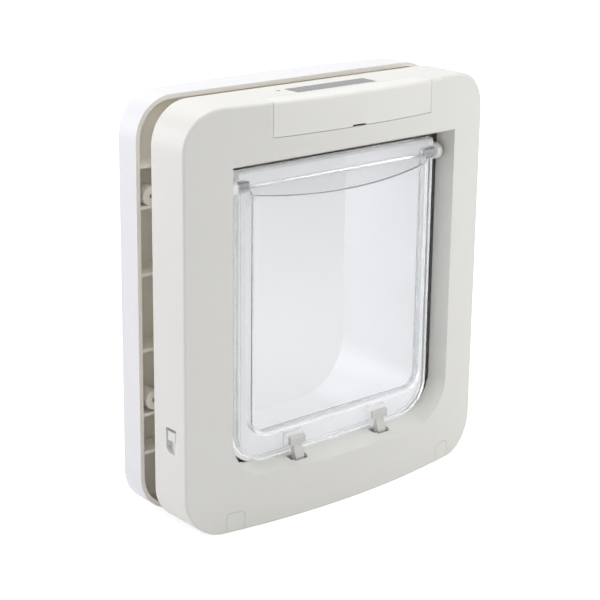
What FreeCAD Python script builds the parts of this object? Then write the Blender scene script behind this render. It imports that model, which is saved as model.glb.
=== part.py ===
"""Electronic cat flap: indoor unit with a clear flap and lock catches, and an outdoor frame.

Frame: +X to the right seen from indoors, +Y from indoors to outdoors, +Z up, millimetres.
The origin is at the bottom centre of the whole assembly, which stands on its flat underside.
"""
import FreeCAD, Part
import Sketcher
import math
import os

os.makedirs("parts", exist_ok=True)

Vector = FreeCAD.Vector
Rotation = FreeCAD.Rotation
document = FreeCAD.newDocument("cat_flap")
sheet = document.addObject("Spreadsheet::Sheet", "Sheet")

# Driving dimensions, in millimetres
DRIVING = {
    # overall shells
    "overall_width": 262.0,
    "overall_height": 286.0,
    "corner_radius": 28.0,
    "unit_depth": 33.7,
    "face_bow": 15.5,
    "door_gap": 16.8,
    "frame_depth": 20.4,
    "frame_bow": 12.0,
    "tunnel_reach": 61.8,
    "shell_wall": 2.5,
    "frame_wall": 3.0,
    "edge_round": 2.0,
    "seat_gap": 0.3,
    "running_gap": 0.05,
    "thread_gap": 0.1,
    # opening in the indoor face
    "mouth_side_border": 32.5,
    "mouth_sill": 35.3,
    "mouth_corner": 29.0,
    "head_holder_gap": 0.9,
    "throat_taper": 2.0,
    "throat_sill_rise": 3.1,
    "throat_head_drop": 8.6,
    "throat_corner": 26.0,
    "throat_depth": 9.5,
    # tunnel
    "tunnel_side_step": 8.5,
    "tunnel_sill_step": 0.2,
    "tunnel_head_step": 4.0,
    "tunnel_fall": 9.1,
    "tunnel_corner": 27.0,
    "tunnel_corner_end": 42.0,
    "tunnel_wall": 2.5,
    "collar_thickness": 2.4,
    "collar_setback": 8.3,
    "collar_overlap": 2.5,
    "sleeve_gap": 0.6,
    "sleeve_wall": 2.5,
    # flap
    "hinge_drop": 11.0,
    "hinge_depth": 5.5,
    "flap_side_gap": 2.0,
    "flap_sill_gap": 1.2,
    "flap_head_gap": 0.8,
    "flap_corner": 24.0,
    "flap_sheet": 2.2,
    "flap_lip_width": 2.0,
    "flap_lip_depth": 6.0,
    "pane_side_margin": 8.0,
    "pane_sill_margin": 19.0,
    "pane_corner": 14.0,
    "pane_stand": 5.8,
    "pane_bulge": 7.0,
    "pane_bulge_low": 0.6,
    "shoulder_drop": 10.0,
    "shoulder_run": 12.0,
    "shoulder_skin": 3.1,
    "striker_width": 16.0,
    "striker_height": 9.5,
    "striker_lift": 4.7,
    "knuckle_radius": 4.8,
    "knuckle_length": 9.0,
    "knuckle_overhang": 1.0,
    "hinge_pin_radius": 2.45,
    "hinge_ear_thickness": 4.5,
    "hinge_ear_gap": 1.5,
    "hinge_ear_radius": 5.6,
    "pin_head_radius": 3.6,
    "pin_head_length": 1.5,
    # lock
    "catch_inset": 60.5,
    "catch_travel": 13.0,
    "catch_stem_width": 7.5,
    "catch_head_width": 13.0,
    "catch_head_height": 6.0,
    "catch_thickness": 5.2,
    "catch_top": 52.0,
    "catch_flap_gap": 1.9,
    "catch_lean": 3.2,
    "catch_lean_height": 9.0,
    "catch_head_step": 2.2,
    "catch_head_chamfer": 1.2,
    "catch_foot": 4.0,
    "catch_slot_front": 1.9,
    "catch_slot_front_width": 11.0,
    "catch_slot_side_gap": 0.7,
    "catch_slot_step": 0.35,
    "catch_slot_rear_gap": 1.7,
    "cam_bar_thickness": 2.5,
    "cam_bar_height": 23.4,
    "cam_bar_overhang": 7.0,
    "cam_pin_radius": 2.0,
    "cam_pin_height": 23.5,
    "cam_slot_gap": 0.25,
    "lock_side_gap": 0.4,
    "tray_wall": 1.4,
    "tray_back_wall": 2.0,
    "tray_height": 28.0,
    "tray_end_gap": 2.0,
    "guide_thickness": 2.0,
    "guide_height": 13.0,
    "solenoid_length": 25.0,
    "solenoid_height": 15.0,
    "solenoid_end_gap": 0.5,
    "plunger_radius": 2.5,
    "plunger_height": 12.0,
    "plunger_engagement": 5.0,
    "lug_thickness": 2.8,
    "lug_margin": 1.0,
    # battery lid and top furniture
    "lid_half_width": 69.0,
    "lid_drop": 22.5,
    "lid_top_depth": 18.5,
    "lid_seam": 0.35,
    "tongue_side_inset": 3.0,
    "tongue_width": 9.0,
    "tongue_thickness": 2.0,
    "tongue_gap": 0.2,
    "tongue_reach": 3.0,
    "tongue_root": 4.0,
    "notch_width": 11.6,
    "notch_height": 1.1,
    "window_half_width": 34.6,
    "window_holder_gap": 0.1,
    "window_depth": 14.6,
    "display_border": 1.0,
    "display_thickness": 3.5,
    "lamp_radius": 1.4,
    "lamp_gap": 0.1,
    "lamp_window_gap": 5.0,
    "lamp_inset": 2.2,
    "lamp_length": 7.0,
    "board_thickness": 1.6,
    "board_post_gap": 2.3,
    "standoff_length": 5.6,
    "board_top_gap": 5.5,
    "board_height": 26.0,
    "standoff_radius": 3.0,
    "standoff_inset": 5.0,
    "cell_radius": 7.1,
    "cell_length": 50.0,
    "cell_nub_radius": 2.7,
    "cell_nub_length": 1.0,
    "cell_gap": 0.4,
    "cell_middle_gap": 1.0,
    "cell_setback": 5.3,
    "holder_wall": 1.5,
    "holder_top_gap": 1.7,
    "wing_thickness": 2.0,
    "wing_depth": 17.5,
    "wing_post_gap": 1.6,
    "wing_top_gap": 4.0,
    "wing_side_gap": 0.5,
    "contact_thickness": 0.5,
    "contact_width": 7.1,
    "button_radius": 3.4,
    "button_length": 6.0,
    "button_inset": 6.0,
    "button_rise": 7.0,
    "button_flange": 1.0,
    "button_flange_radius": 4.4,
    # antenna, screws and small covers
    "antenna_gap": 0.4,
    "antenna_thickness": 2.2,
    "antenna_collar_gap": 0.6,
    "antenna_plate_gap": 1.4,
    "screw_radius": 2.1,
    "screw_head_radius": 4.0,
    "screw_head_height": 2.6,
    "screw_head_depth": 3.0,
    "screw_end_margin": 7.0,
    "screw_hole_gap": 0.2,
    "bore_end_margin": 5.0,
    "drive_width": 1.05,
    "drive_length": 4.2,
    "drive_depth": 1.3,
    "post_front": 3.0,
    "post_wall": 2.2,
    "lower_screw_inset": 35.5,
    "lower_screw_height": 8.2,
    "screw_holder_gap": 2.3,
    "upper_screw_rise": 7.6,
    "cover_width": 13.0,
    "cover_height": 14.0,
    "cover_corner": 2.5,
    "cover_gap": 0.25,
    "cover_back": 3.6,
    "case_screw_radius": 1.5,
    "case_screw_head": 2.9,
    "case_screw_length": 12.0,
    "case_screw_head_height": 1.4,
    "case_post_wall": 2.4,
    "case_screw_inset": 18.0,
    "case_screw_low": 46.0,
    "case_screw_drop": 24.0,
    # side latches
    "latch_front": 9.5,
    "latch_length": 11.5,
    "latch_bottom": 57.5,
    "latch_height": 17.5,
    "latch_recess": 4.0,
    "latch_block_height": 6.5,
    "latch_block_width": 8.0,
    "latch_block_front": 1.5,
    "latch_top_gap": 2.0,
    "latch_end_radius": 5.0,
    "latch_backing": 3.5,
    "latch_pocket": 1.75,
    "latch_skirt": 2.5,
    # outdoor frame
    "rib_thickness": 2.0,
    "rib_setback": 1.0,
    "rib_near": 26.0,
    "rib_middle_inset": 72.0,
    "rib_far_inset": 45.0,
    "boss_radius": 6.5,
    "boss_bore": 1.7,
    "boss_inset": 12.5,
    "boss_drop": 65.0,
    "boss_rise": 81.0,
}

for row, (alias, number) in enumerate(DRIVING.items(), 1):
    sheet.set(f"A{row}", alias)
    sheet.set(f"B{row}", str(number))
    sheet.setAlias(f"B{row}", alias)
document.recompute()


class Size:
    """A length that carries its number and the sheet formula that gives it."""

    def __init__(self, value, formula):
        self.value = value
        self.formula = formula

    def __add__(self, other):
        other = as_size(other)
        return Size(self.value + other.value, f"({self.formula} + {other.formula})")

    def __sub__(self, other):
        other = as_size(other)
        return Size(self.value - other.value, f"({self.formula} - {other.formula})")

    def __mul__(self, other):
        other = as_size(other)
        return Size(self.value * other.value, f"({self.formula} * {other.formula})")

    def __truediv__(self, other):
        other = as_size(other)
        return Size(self.value / other.value, f"({self.formula} / {other.formula})")

    def __neg__(self):
        return Size(-self.value, f"(0 - {self.formula})")


def as_size(amount):
    """Return amount as a Size; a plain number becomes a constant in the formula."""
    if isinstance(amount, Size):
        return amount
    return Size(float(amount), f"({amount})")


def size(alias):
    """Return the driving dimension with this alias."""
    return Size(DRIVING[alias], "Sheet." + alias)


def bind(target, name, amount):
    """Tie a property of an object to the sheet."""
    target.setExpression(name, as_size(amount).formula)


# Shared places, worked out from the driving dimensions
HALF_WIDTH = size("overall_width") / 2
HEIGHT = size("overall_height")
MIDDLE_HEIGHT = HEIGHT / 2
FACE = (size("face_bow") - size("unit_depth") - size("tunnel_reach")) / 2
UNIT_REAR = FACE + size("unit_depth")
FRAME_FRONT = UNIT_REAR + size("door_gap")
FRAME_SIDE_REAR = FRAME_FRONT + size("frame_depth")
TUNNEL_END = UNIT_REAR + size("tunnel_reach")
FACE_APEX = FACE - size("face_bow")
FRAME_APEX = FRAME_SIDE_REAR + size("frame_bow")
THROAT = FACE + size("throat_depth")
SHELL = size("shell_wall")
SEAT = size("seat_gap")
TOP_WALL = HEIGHT - SHELL
FAR = HEIGHT * 2
ALONG_Y = Rotation(Vector(1, 0, 0), -90)
ALONG_X = Rotation(Vector(0, 1, 0), 90)
UPRIGHT = Rotation()

# Cells in their holder under the top wall, which set how high the opening can reach
CELL_R = size("cell_radius")
CELL_FRONT = FACE_APEX + size("cell_setback")
CELL_Y = CELL_FRONT + CELL_R
CELL_REACH = size("cell_middle_gap") + size("cell_length")
HOLDER_WALL = size("holder_wall")
HOLDER_IN = CELL_REACH + size("contact_thickness") * 3
HOLDER_BACK = CELL_FRONT + CELL_R * 2 + size("cell_gap")
HOLDER_TOP = TOP_WALL - size("holder_top_gap")
ROW_HIGH = HOLDER_TOP - CELL_R
ROW_LOW = ROW_HIGH - CELL_R * 2 - size("cell_gap")
HOLDER_FLOOR = ROW_LOW - CELL_R
HOLDER_BOTTOM = HOLDER_FLOOR - HOLDER_WALL

# Opening, tunnel and hinge, one inside the other
MOUTH_HALF = HALF_WIDTH - size("mouth_side_border")
MOUTH_SILL = size("mouth_sill")
MOUTH_HEAD = HOLDER_BOTTOM - size("head_holder_gap")
THROAT_HALF = MOUTH_HALF - size("throat_taper")
THROAT_SILL = MOUTH_SILL + size("throat_sill_rise")
THROAT_HEAD = MOUTH_HEAD - size("throat_head_drop")
TUNNEL_HALF = THROAT_HALF - size("tunnel_side_step")
TUNNEL_FLOOR = THROAT_SILL + size("tunnel_sill_step")
TUNNEL_CEILING = THROAT_HEAD - size("tunnel_head_step")
HINGE_Y = FACE + size("hinge_depth")
HINGE_Z = THROAT_HEAD - size("hinge_drop")

# Screw places
POST_RADIUS = size("screw_head_radius") + size("post_wall")
LOWER_PLACE = (HALF_WIDTH - size("lower_screw_inset"), size("lower_screw_height"))
UPPER_PLACE = (
    HOLDER_IN + HOLDER_WALL + size("screw_holder_gap") + POST_RADIUS,
    MOUTH_HEAD + size("upper_screw_rise"),
)
CASE_X = HALF_WIDTH - size("case_screw_inset")
FIXING_PLACES = {"lower": LOWER_PLACE, "upper": UPPER_PLACE}
CASE_PLACES = {
    "low": (CASE_X, size("case_screw_low")),
    "high": (CASE_X, HEIGHT - size("case_screw_drop")),
}
SIDES = (("left", -1), ("right", 1))
NODES = {}


def origin_plane(body, role):
    """Return one of a body's own origin planes."""
    return [plane for plane in body.Origin.OriginFeatures if plane.Role == role][0]


def new_body(name):
    """Return a new PartDesign body."""
    return document.addObject("PartDesign::Body", name)


def new_sketch(body, name, role, offset):
    """Return a sketch on an origin plane of its body, moved along the plane's normal."""
    sketch = body.newObject("Sketcher::SketchObject", name)
    sketch.AttachmentSupport = (origin_plane(body, role), [""])
    sketch.MapMode = "FlatFace"
    bind(sketch, "AttachmentOffset.Base.z", offset)
    return sketch


def dimension(sketch, kind, references, amount):
    """Add a driving constraint to a sketch and tie it to the sheet."""
    amount = as_size(amount)
    index = sketch.addConstraint(Sketcher.Constraint(kind, *references, amount.value))
    sketch.setExpression(f"Constraints[{index}]", amount.formula)


def relate(sketch, kind, *references):
    """Add a geometric constraint to a sketch."""
    sketch.addConstraint(Sketcher.Constraint(kind, *references))


def pad(body, sketch, name, length, midplane=False):
    """Pad a sketch by a length tied to the sheet."""
    feature = body.newObject("PartDesign::Pad", name)
    feature.Profile = sketch
    feature.Midplane = midplane
    bind(feature, "Length", length)
    document.recompute()
    return feature


def box(name, low, high):
    """Return a Part box between two corners, each a triple of sizes."""
    solid = document.addObject("Part::Box", name)
    for side, start, end in zip(("Length", "Width", "Height"), low, high):
        bind(solid, side, as_size(end) - start)
    for axis, start in zip("xyz", low):
        bind(solid, f"Placement.Base.{axis}", start)
    return solid


def cylinder(name, radius, length, start, turn):
    """Return a Part cylinder that starts at a point and runs along the turned Z axis."""
    solid = document.addObject("Part::Cylinder", name)
    solid.Placement = FreeCAD.Placement(Vector(), turn)
    bind(solid, "Radius", radius)
    bind(solid, "Height", length)
    for axis, place in zip("xyz", start):
        bind(solid, f"Placement.Base.{axis}", place)
    return solid


def cut(name, base, tool):
    """Return base with tool taken away."""
    result = document.addObject("Part::Cut", name)
    result.Base = base
    result.Tool = tool
    return result


def fuse(name, shapes):
    """Return the union of several solids, with joined faces cleaned."""
    result = document.addObject("Part::MultiFuse", name)
    result.Shapes = shapes
    result.Refine = True
    return result


def common(name, shapes):
    """Return what several solids share."""
    result = document.addObject("Part::MultiCommon", name)
    result.Shapes = shapes
    return result


def group(name, shapes):
    """Return separate solids held as one compound."""
    result = document.addObject("Part::Compound", name)
    result.Links = shapes
    return result


def mirrored(name, source):
    """Return a copy mirrored across the plane of symmetry."""
    result = document.addObject("Part::Mirroring", name)
    result.Source = source
    result.Normal = Vector(1, 0, 0)
    result.Base = Vector(0, 0, 0)
    return result


def bow_radius(half_width, bow):
    """Return the radius of an arc with this half chord and rise."""
    return (half_width * half_width + bow * bow) / (bow * 2)


def bowed_plan(body, name, height, half, flat, apex, radius, outward):
    """Return a plan sketch with a straight side at flat and an arc whose apex points outward."""
    half, flat, apex, radius = (as_size(part) for part in (half, flat, apex, radius))
    centre = apex - radius * outward
    corner = centre.value + math.sqrt(radius.value ** 2 - half.value ** 2) * outward
    sketch = new_sketch(body, name, "XY_Plane", height)
    left_low = Vector(-half.value, corner, 0)
    left_flat = Vector(-half.value, flat.value, 0)
    right_flat = Vector(half.value, flat.value, 0)
    right_low = Vector(half.value, corner, 0)
    sketch.addGeometry(Part.LineSegment(left_low, left_flat))
    sketch.addGeometry(Part.LineSegment(left_flat, right_flat))
    sketch.addGeometry(Part.LineSegment(right_flat, right_low))
    circle = Part.Circle(Vector(0, centre.value, 0), Vector(0, 0, 1), radius.value)
    swing = math.asin(half.value / radius.value)
    middle = math.pi / 2 * outward
    sketch.addGeometry(Part.ArcOfCircle(circle, middle - swing, middle + swing))
    starts_left = outward < 0
    relate(sketch, "Coincident", 0, 2, 1, 1)
    relate(sketch, "Coincident", 1, 2, 2, 1)
    relate(sketch, "Coincident", 2, 2, 3, 2 if starts_left else 1)
    relate(sketch, "Coincident", 0, 1, 3, 1 if starts_left else 2)
    relate(sketch, "Vertical", 0)
    relate(sketch, "Vertical", 2)
    relate(sketch, "PointOnObject", 3, 3, -2)
    relate(sketch, "Symmetric", 1, 1, 1, 2, -2)
    dimension(sketch, "DistanceX", (-1, 1, 2, 1), half)
    dimension(sketch, "DistanceY", (-1, 1, 1, 1), flat)
    dimension(sketch, "Radius", (3,), radius)
    dimension(sketch, "DistanceY", (-1, 1, 3, 3), centre)
    return sketch


def bowed_block(name, inset, flat, apex, bow, outward, rounding=None):
    """Return a rounded block whose one side is flat and whose other side bows outward along Y."""
    inset = as_size(inset)
    body = new_body(name)
    radius = bow_radius(HALF_WIDTH, bow) - inset
    half = HALF_WIDTH - inset
    middle = apex - inset * outward
    sketch = bowed_plan(body, name + "_plan", inset, half, flat, middle, radius, outward)
    block = pad(body, sketch, name + "_block", HEIGHT - inset * 2)
    edges = []
    for number, edge in enumerate(block.Shape.Edges, 1):
        start, end = edge.Vertexes[0].Point, edge.Vertexes[-1].Point
        along = abs(start.x - end.x) < 1e-4 and abs(start.z - end.z) < 1e-4
        if along and abs(start.y - end.y) > 1:
            edges.append(f"Edge{number}")
    corners = body.newObject("PartDesign::Fillet", name + "_corners")
    corners.Base = (block, edges)
    bind(corners, "Radius", size("corner_radius") - inset)
    document.recompute()
    if rounding is not None:
        rim = body.newObject("PartDesign::Fillet", name + "_rim")
        bowed = [
            f"Face{number}"
            for number, face in enumerate(corners.Shape.Faces, 1)
            if face.Surface.TypeId == "Part::GeomCylinder"
            and abs(face.Surface.Radius - radius.value) < 0.01
        ]
        rim.Base = (corners, bowed)
        bind(rim, "Radius", rounding)
        document.recompute()
    return body


def arch_sketch(body, name, depth, half, sill, head, corner):
    """Return a sketch at a depth along Y: square head corners, rounded sill corners."""
    half, sill, head, corner = (as_size(part) for part in (half, sill, head, corner))
    sketch = new_sketch(body, name, "XZ_Plane", -as_size(depth))
    across, low, high, bend = half.value, sill.value, head.value, corner.value
    up = Vector(0, 0, 1)
    sill_left, sill_right = Vector(bend - across, low, 0), Vector(across - bend, low, 0)
    sketch.addGeometry(Part.LineSegment(sill_left, sill_right))
    right = Part.Circle(Vector(across - bend, low + bend, 0), up, bend)
    sketch.addGeometry(Part.ArcOfCircle(right, -math.pi / 2, 0))
    sketch.addGeometry(Part.LineSegment(Vector(across, low + bend, 0), Vector(across, high, 0)))
    sketch.addGeometry(Part.LineSegment(Vector(across, high, 0), Vector(-across, high, 0)))
    sketch.addGeometry(Part.LineSegment(Vector(-across, high, 0), Vector(-across, low + bend, 0)))
    left = Part.Circle(Vector(bend - across, low + bend, 0), up, bend)
    sketch.addGeometry(Part.ArcOfCircle(left, math.pi, math.pi * 1.5))
    relate(sketch, "Tangent", 0, 2, 1, 1)
    relate(sketch, "Tangent", 1, 2, 2, 1)
    relate(sketch, "Coincident", 2, 2, 3, 1)
    relate(sketch, "Coincident", 3, 2, 4, 1)
    relate(sketch, "Tangent", 4, 2, 5, 1)
    relate(sketch, "Tangent", 5, 2, 0, 1)
    relate(sketch, "Horizontal", 0)
    relate(sketch, "Vertical", 2)
    relate(sketch, "Vertical", 4)
    relate(sketch, "Symmetric", 3, 1, 3, 2, -2)
    relate(sketch, "Equal", 1, 5)
    dimension(sketch, "Radius", (1,), corner)
    dimension(sketch, "DistanceX", (-1, 1, 3, 1), half)
    dimension(sketch, "DistanceY", (-1, 1, 0, 1), sill)
    dimension(sketch, "DistanceY", (-1, 1, 3, 1), head)
    return sketch


def arch_prism(name, front, rear, half, sill, head, corner):
    """Return a straight prism along Y with an arch section."""
    body = new_body(name)
    sketch = arch_sketch(body, name + "_section", rear, half, sill, head, corner)
    pad(body, sketch, name + "_prism", as_size(rear) - front)
    return body


def arch_loft(name, sections):
    """Return a ruled loft along Y between two arch sections."""
    body = new_body(name)
    first, second = (
        arch_sketch(body, f"{name}_section_{number}", *section)
        for number, section in enumerate(sections, 1)
    )
    loft = body.newObject("PartDesign::AdditiveLoft", name + "_loft")
    loft.Profile = first
    loft.Sections = [second]
    loft.Ruled = True
    document.recompute()
    return body


def mouth_loft(name, offset):
    """Return the tapered opening of the indoor face, grown by an offset."""
    front = (
        FACE_APEX - 1,
        MOUTH_HALF + offset,
        MOUTH_SILL - offset,
        MOUTH_HEAD + offset,
        size("mouth_corner") + offset,
    )
    rear = (
        THROAT,
        THROAT_HALF + offset,
        THROAT_SILL - offset,
        THROAT_HEAD + offset,
        size("throat_corner") + offset,
    )
    return arch_loft(name, (front, rear))


def tunnel_loft(name, offset):
    """Return the tunnel's sloping passage, grown by an offset."""
    front = (
        THROAT,
        TUNNEL_HALF + offset,
        TUNNEL_FLOOR - offset,
        TUNNEL_CEILING + offset,
        size("tunnel_corner") + offset,
    )
    rear = (
        TUNNEL_END,
        TUNNEL_HALF + offset,
        TUNNEL_FLOOR - size("tunnel_fall") - offset,
        TUNNEL_CEILING + offset,
        size("tunnel_corner_end") + offset,
    )
    return arch_loft(name, (front, rear))


def slab(name, front, rear):
    """Return a slab across the whole object between two depths."""
    return box(name, (-FAR, front, -FAR), (FAR, rear, FAR))


def polygon_prism(name, role, start, points, length, midplane=False):
    """Return a straight-sided prism whose corner points are all tied to the sheet."""
    body = new_body(name)
    sketch = new_sketch(body, name + "_outline", role, start)
    points = [(as_size(first), as_size(second)) for first, second in points]
    places = [Vector(first.value, second.value, 0) for first, second in points]
    count = len(places)
    for index in range(count):
        sketch.addGeometry(Part.LineSegment(places[index], places[(index + 1) % count]))
    for index in range(count):
        relate(sketch, "Coincident", index, 2, (index + 1) % count, 1)
    for index, (first, second) in enumerate(points):
        dimension(sketch, "DistanceX", (-1, 1, index, 1), first)
        dimension(sketch, "DistanceY", (-1, 1, index, 1), second)
    pad(body, sketch, name + "_prism", length, midplane)
    return body


def rounded_box(name, low, high, radius, axis, chosen=None):
    """Return a box between two corners with its edges along one axis rounded."""
    body = new_body(name)
    block = body.newObject("PartDesign::AdditiveBox", name + "_block")
    for side, start, end in zip(("Length", "Width", "Height"), low, high):
        bind(block, side, as_size(end) - start)
    for letter, start in zip("xyz", low):
        bind(body, f"Placement.Base.{letter}", start)
    document.recompute()
    centre = block.Shape.BoundBox.Center
    edges = []
    for number, edge in enumerate(block.Shape.Edges, 1):
        run = edge.Vertexes[1].Point - edge.Vertexes[0].Point
        middle = (edge.Vertexes[1].Point + edge.Vertexes[0].Point) * 0.5 - centre
        wanted = chosen is None or chosen(middle)
        if wanted and abs(getattr(run, axis)) > 0.5 * run.Length:
            edges.append(f"Edge{number}")
    rounding = body.newObject("PartDesign::Fillet", name + "_rounding")
    rounding.Base = (block, edges)
    bind(rounding, "Radius", radius)
    document.recompute()
    return body


def finish(node, shape):
    """Give a finished sub-part its label and put it on the list to export."""
    shape.Label = node
    NODES[node] = shape


def four_cylinders(name, places, radius, front, rear):
    """Return cylinders along Y at two heights on both sides."""
    made = []
    length = as_size(rear) - front
    for level, (across, height) in places.items():
        for side, sign in SIDES:
            start = (across * sign, front, height)
            made.append(cylinder(f"{name}_{level}_{side}", radius, length, start, ALONG_Y))
    return made


def both_ways(sign, near, far):
    """Return the lower and higher X of a span that lies between near and far on one side."""
    if sign < 0:
        return -as_size(far), -as_size(near)
    return as_size(near), as_size(far)


def upper_edges(middle):
    """Tell whether an edge lies above its block's centre."""
    return middle.z > 0


def lower_edges(middle):
    """Tell whether an edge lies below its block's centre."""
    return middle.z < 0


# Indoor fascia
FACE_BOW = size("face_bow")
EDGE_ROUND = size("edge_round")
outer_block = bowed_block("fascia_outside", 0, UNIT_REAR, FACE_APEX, FACE_BOW, -1, EDGE_ROUND)
inner_block = bowed_block("fascia_inside", SHELL, UNIT_REAR, FACE_APEX, FACE_BOW, -1)
chassis_room = bowed_block("chassis_room", SHELL + SEAT, UNIT_REAR, FACE_APEX, FACE_BOW, -1)
shell = cut("fascia_shell", outer_block, inner_block)
bezel_skin = common("bezel_skin", [mouth_loft("bezel_outside", SHELL), outer_block])
mouth = mouth_loft("mouth_space", 0)

# Side recesses and their latch blocks
LATCH_Y = FACE + size("latch_front")
LATCH_END_Y = LATCH_Y + size("latch_length")
LATCH_Z = size("latch_bottom")
LATCH_TOP = LATCH_Z + size("latch_height")
BLOCK_TOP = LATCH_TOP - size("latch_top_gap")
BLOCK_Y = LATCH_Y + size("latch_block_front")
BLOCK_END_Y = BLOCK_Y + size("latch_block_width")
RECESS_X = HALF_WIDTH - size("latch_recess")
BACKING_X = RECESS_X - size("latch_backing")
recess_ramp = polygon_prism(
    "recess_ramp",
    "XY_Plane",
    LATCH_Z,
    [
        (HALF_WIDTH, LATCH_Y),
        (HALF_WIDTH + 1, LATCH_Y),
        (HALF_WIDTH + 1, LATCH_END_Y),
        (RECESS_X, LATCH_END_Y),
    ],
    size("latch_height"),
)
recess_outline = rounded_box(
    "recess_outline",
    (RECESS_X - 1, LATCH_Y - 1, LATCH_Z),
    (HALF_WIDTH + 2, LATCH_END_Y, LATCH_TOP),
    size("latch_end_radius"),
    "x",
    lower_edges,
)
recess_right = common("recess_right", [recess_ramp, recess_outline])
recess_slot_right = box(
    "recess_slot_right",
    (RECESS_X - size("latch_pocket"), BLOCK_Y, BLOCK_TOP),
    (HALF_WIDTH + 1, BLOCK_END_Y, LATCH_TOP),
)
backing_right = box(
    "latch_backing_right",
    (BACKING_X, LATCH_Y - size("latch_skirt"), LATCH_Z - size("latch_skirt")),
    (HALF_WIDTH - SHELL / 2, LATCH_END_Y + size("latch_skirt"), LATCH_TOP + size("latch_skirt")),
)
recess_cut_right = fuse("recess_cut_right", [recess_right, recess_slot_right])
block_room = box(
    "latch_block_room",
    (RECESS_X - 1, BLOCK_Y, BLOCK_TOP - size("latch_block_height")),
    (HALF_WIDTH, BLOCK_END_Y, BLOCK_TOP),
)
latch_right = common("latch_block_right", [recess_ramp, block_room])
finish("side_latch_right", latch_right)
finish("side_latch_left", mirrored("latch_block_left", latch_right))

# Battery lid, cut from the same shell as the fascia
LID_SEAM_Z = HEIGHT - size("lid_drop")
LID_BACK = FACE_APEX + size("lid_top_depth")
lid_half = size("lid_half_width")
seam = size("lid_seam")
lid_room = box("lid_room", (-lid_half, -FAR, LID_SEAM_Z), (lid_half, LID_BACK, FAR))
lid_hole = box(
    "lid_hole",
    (-lid_half - seam, -FAR, LID_SEAM_Z - seam),
    (lid_half + seam, LID_BACK + seam, FAR),
)
lid_skin = common("lid_skin", [shell, lid_room])
notch_half = size("notch_width") / 2
notch = box(
    "finger_notch",
    (-notch_half, -FAR, LID_SEAM_Z - 1),
    (notch_half, FACE_APEX + SHELL * 2, LID_SEAM_Z + size("notch_height")),
)
tongues = []
TONGUE_OUT = lid_half - size("tongue_side_inset")
TONGUE_IN = TONGUE_OUT - size("tongue_width")
TONGUE_TOP = TOP_WALL - size("tongue_gap")
TONGUE_ROOT_Y = LID_BACK - size("tongue_root")
for side, sign in SIDES:
    low_x, high_x = both_ways(sign, TONGUE_IN, TONGUE_OUT)
    tongues.append(
        box(
            "lid_tongue_" + side,
            (low_x, TONGUE_ROOT_Y, TONGUE_TOP - size("tongue_thickness")),
            (high_x, LID_BACK + size("tongue_reach"), TONGUE_TOP),
        )
    )
    tongues.append(
        box(
            "lid_tongue_root_" + side,
            (low_x, TONGUE_ROOT_Y, TONGUE_TOP - 1),
            (high_x, LID_BACK, TOP_WALL + 1),
        )
    )
finish("battery_lid", cut("lid_body", fuse("lid_with_tongues", [lid_skin] + tongues), notch))

# Display window and status light in the top face
WINDOW_Y = HOLDER_BACK + HOLDER_WALL + size("window_holder_gap")
WINDOW_END_Y = WINDOW_Y + size("window_depth")
window_half = size("window_half_width")
window_gap = seam / 2
window_pane = box("window_pane", (-window_half, WINDOW_Y, TOP_WALL), (window_half, WINDOW_END_Y, HEIGHT))
finish("display_window", window_pane)
window_hole = box(
    "window_hole",
    (-window_half - window_gap, WINDOW_Y - window_gap, TOP_WALL - 1),
    (window_half + window_gap, WINDOW_END_Y + window_gap, HEIGHT + 1),
)
DISPLAY_HALF = window_half + size("display_border")
DISPLAY_END_Y = WINDOW_END_Y + size("display_border")
display_block = box(
    "display_block",
    (-DISPLAY_HALF, WINDOW_Y, TOP_WALL - size("display_thickness")),
    (DISPLAY_HALF, DISPLAY_END_Y, TOP_WALL),
)
finish("display_module", display_block)
LAMP_R = size("lamp_radius")
LAMP_X = -window_half - size("lamp_window_gap") - LAMP_R
LAMP_Y = WINDOW_END_Y - size("lamp_inset")
lamp_start = (LAMP_X, LAMP_Y, HEIGHT - size("lamp_length"))
lamp_hole = cylinder(
    "lamp_hole", LAMP_R + size("lamp_gap"), SHELL + 2, (LAMP_X, LAMP_Y, TOP_WALL - 1), UPRIGHT
)
finish("status_light", cylinder("lamp_rod", LAMP_R, size("lamp_length"), lamp_start, UPRIGHT))

# Screw covers at the bottom edge of the face
COVER_BACK = FACE - size("cover_back")
cover_holes = []
for side, sign in SIDES:
    middle_x = LOWER_PLACE[0] * sign
    half = size("cover_width") / 2
    gap = size("cover_gap")
    room = rounded_box(
        "cover_room_" + side,
        (middle_x - half, FACE_APEX, -size("cover_height")),
        (middle_x + half, COVER_BACK, size("cover_height")),
        size("cover_corner"),
        "y",
        upper_edges,
    )
    hole = rounded_box(
        "cover_hole_" + side,
        (middle_x - half - gap, FACE_APEX - 1, -size("cover_height")),
        (middle_x + half + gap, COVER_BACK + gap, size("cover_height") + gap),
        size("cover_corner") + gap,
        "y",
        upper_edges,
    )
    cover_holes.append(hole)
    finish("screw_cover_" + side, common("cover_cap_" + side, [outer_block, room]))

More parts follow.
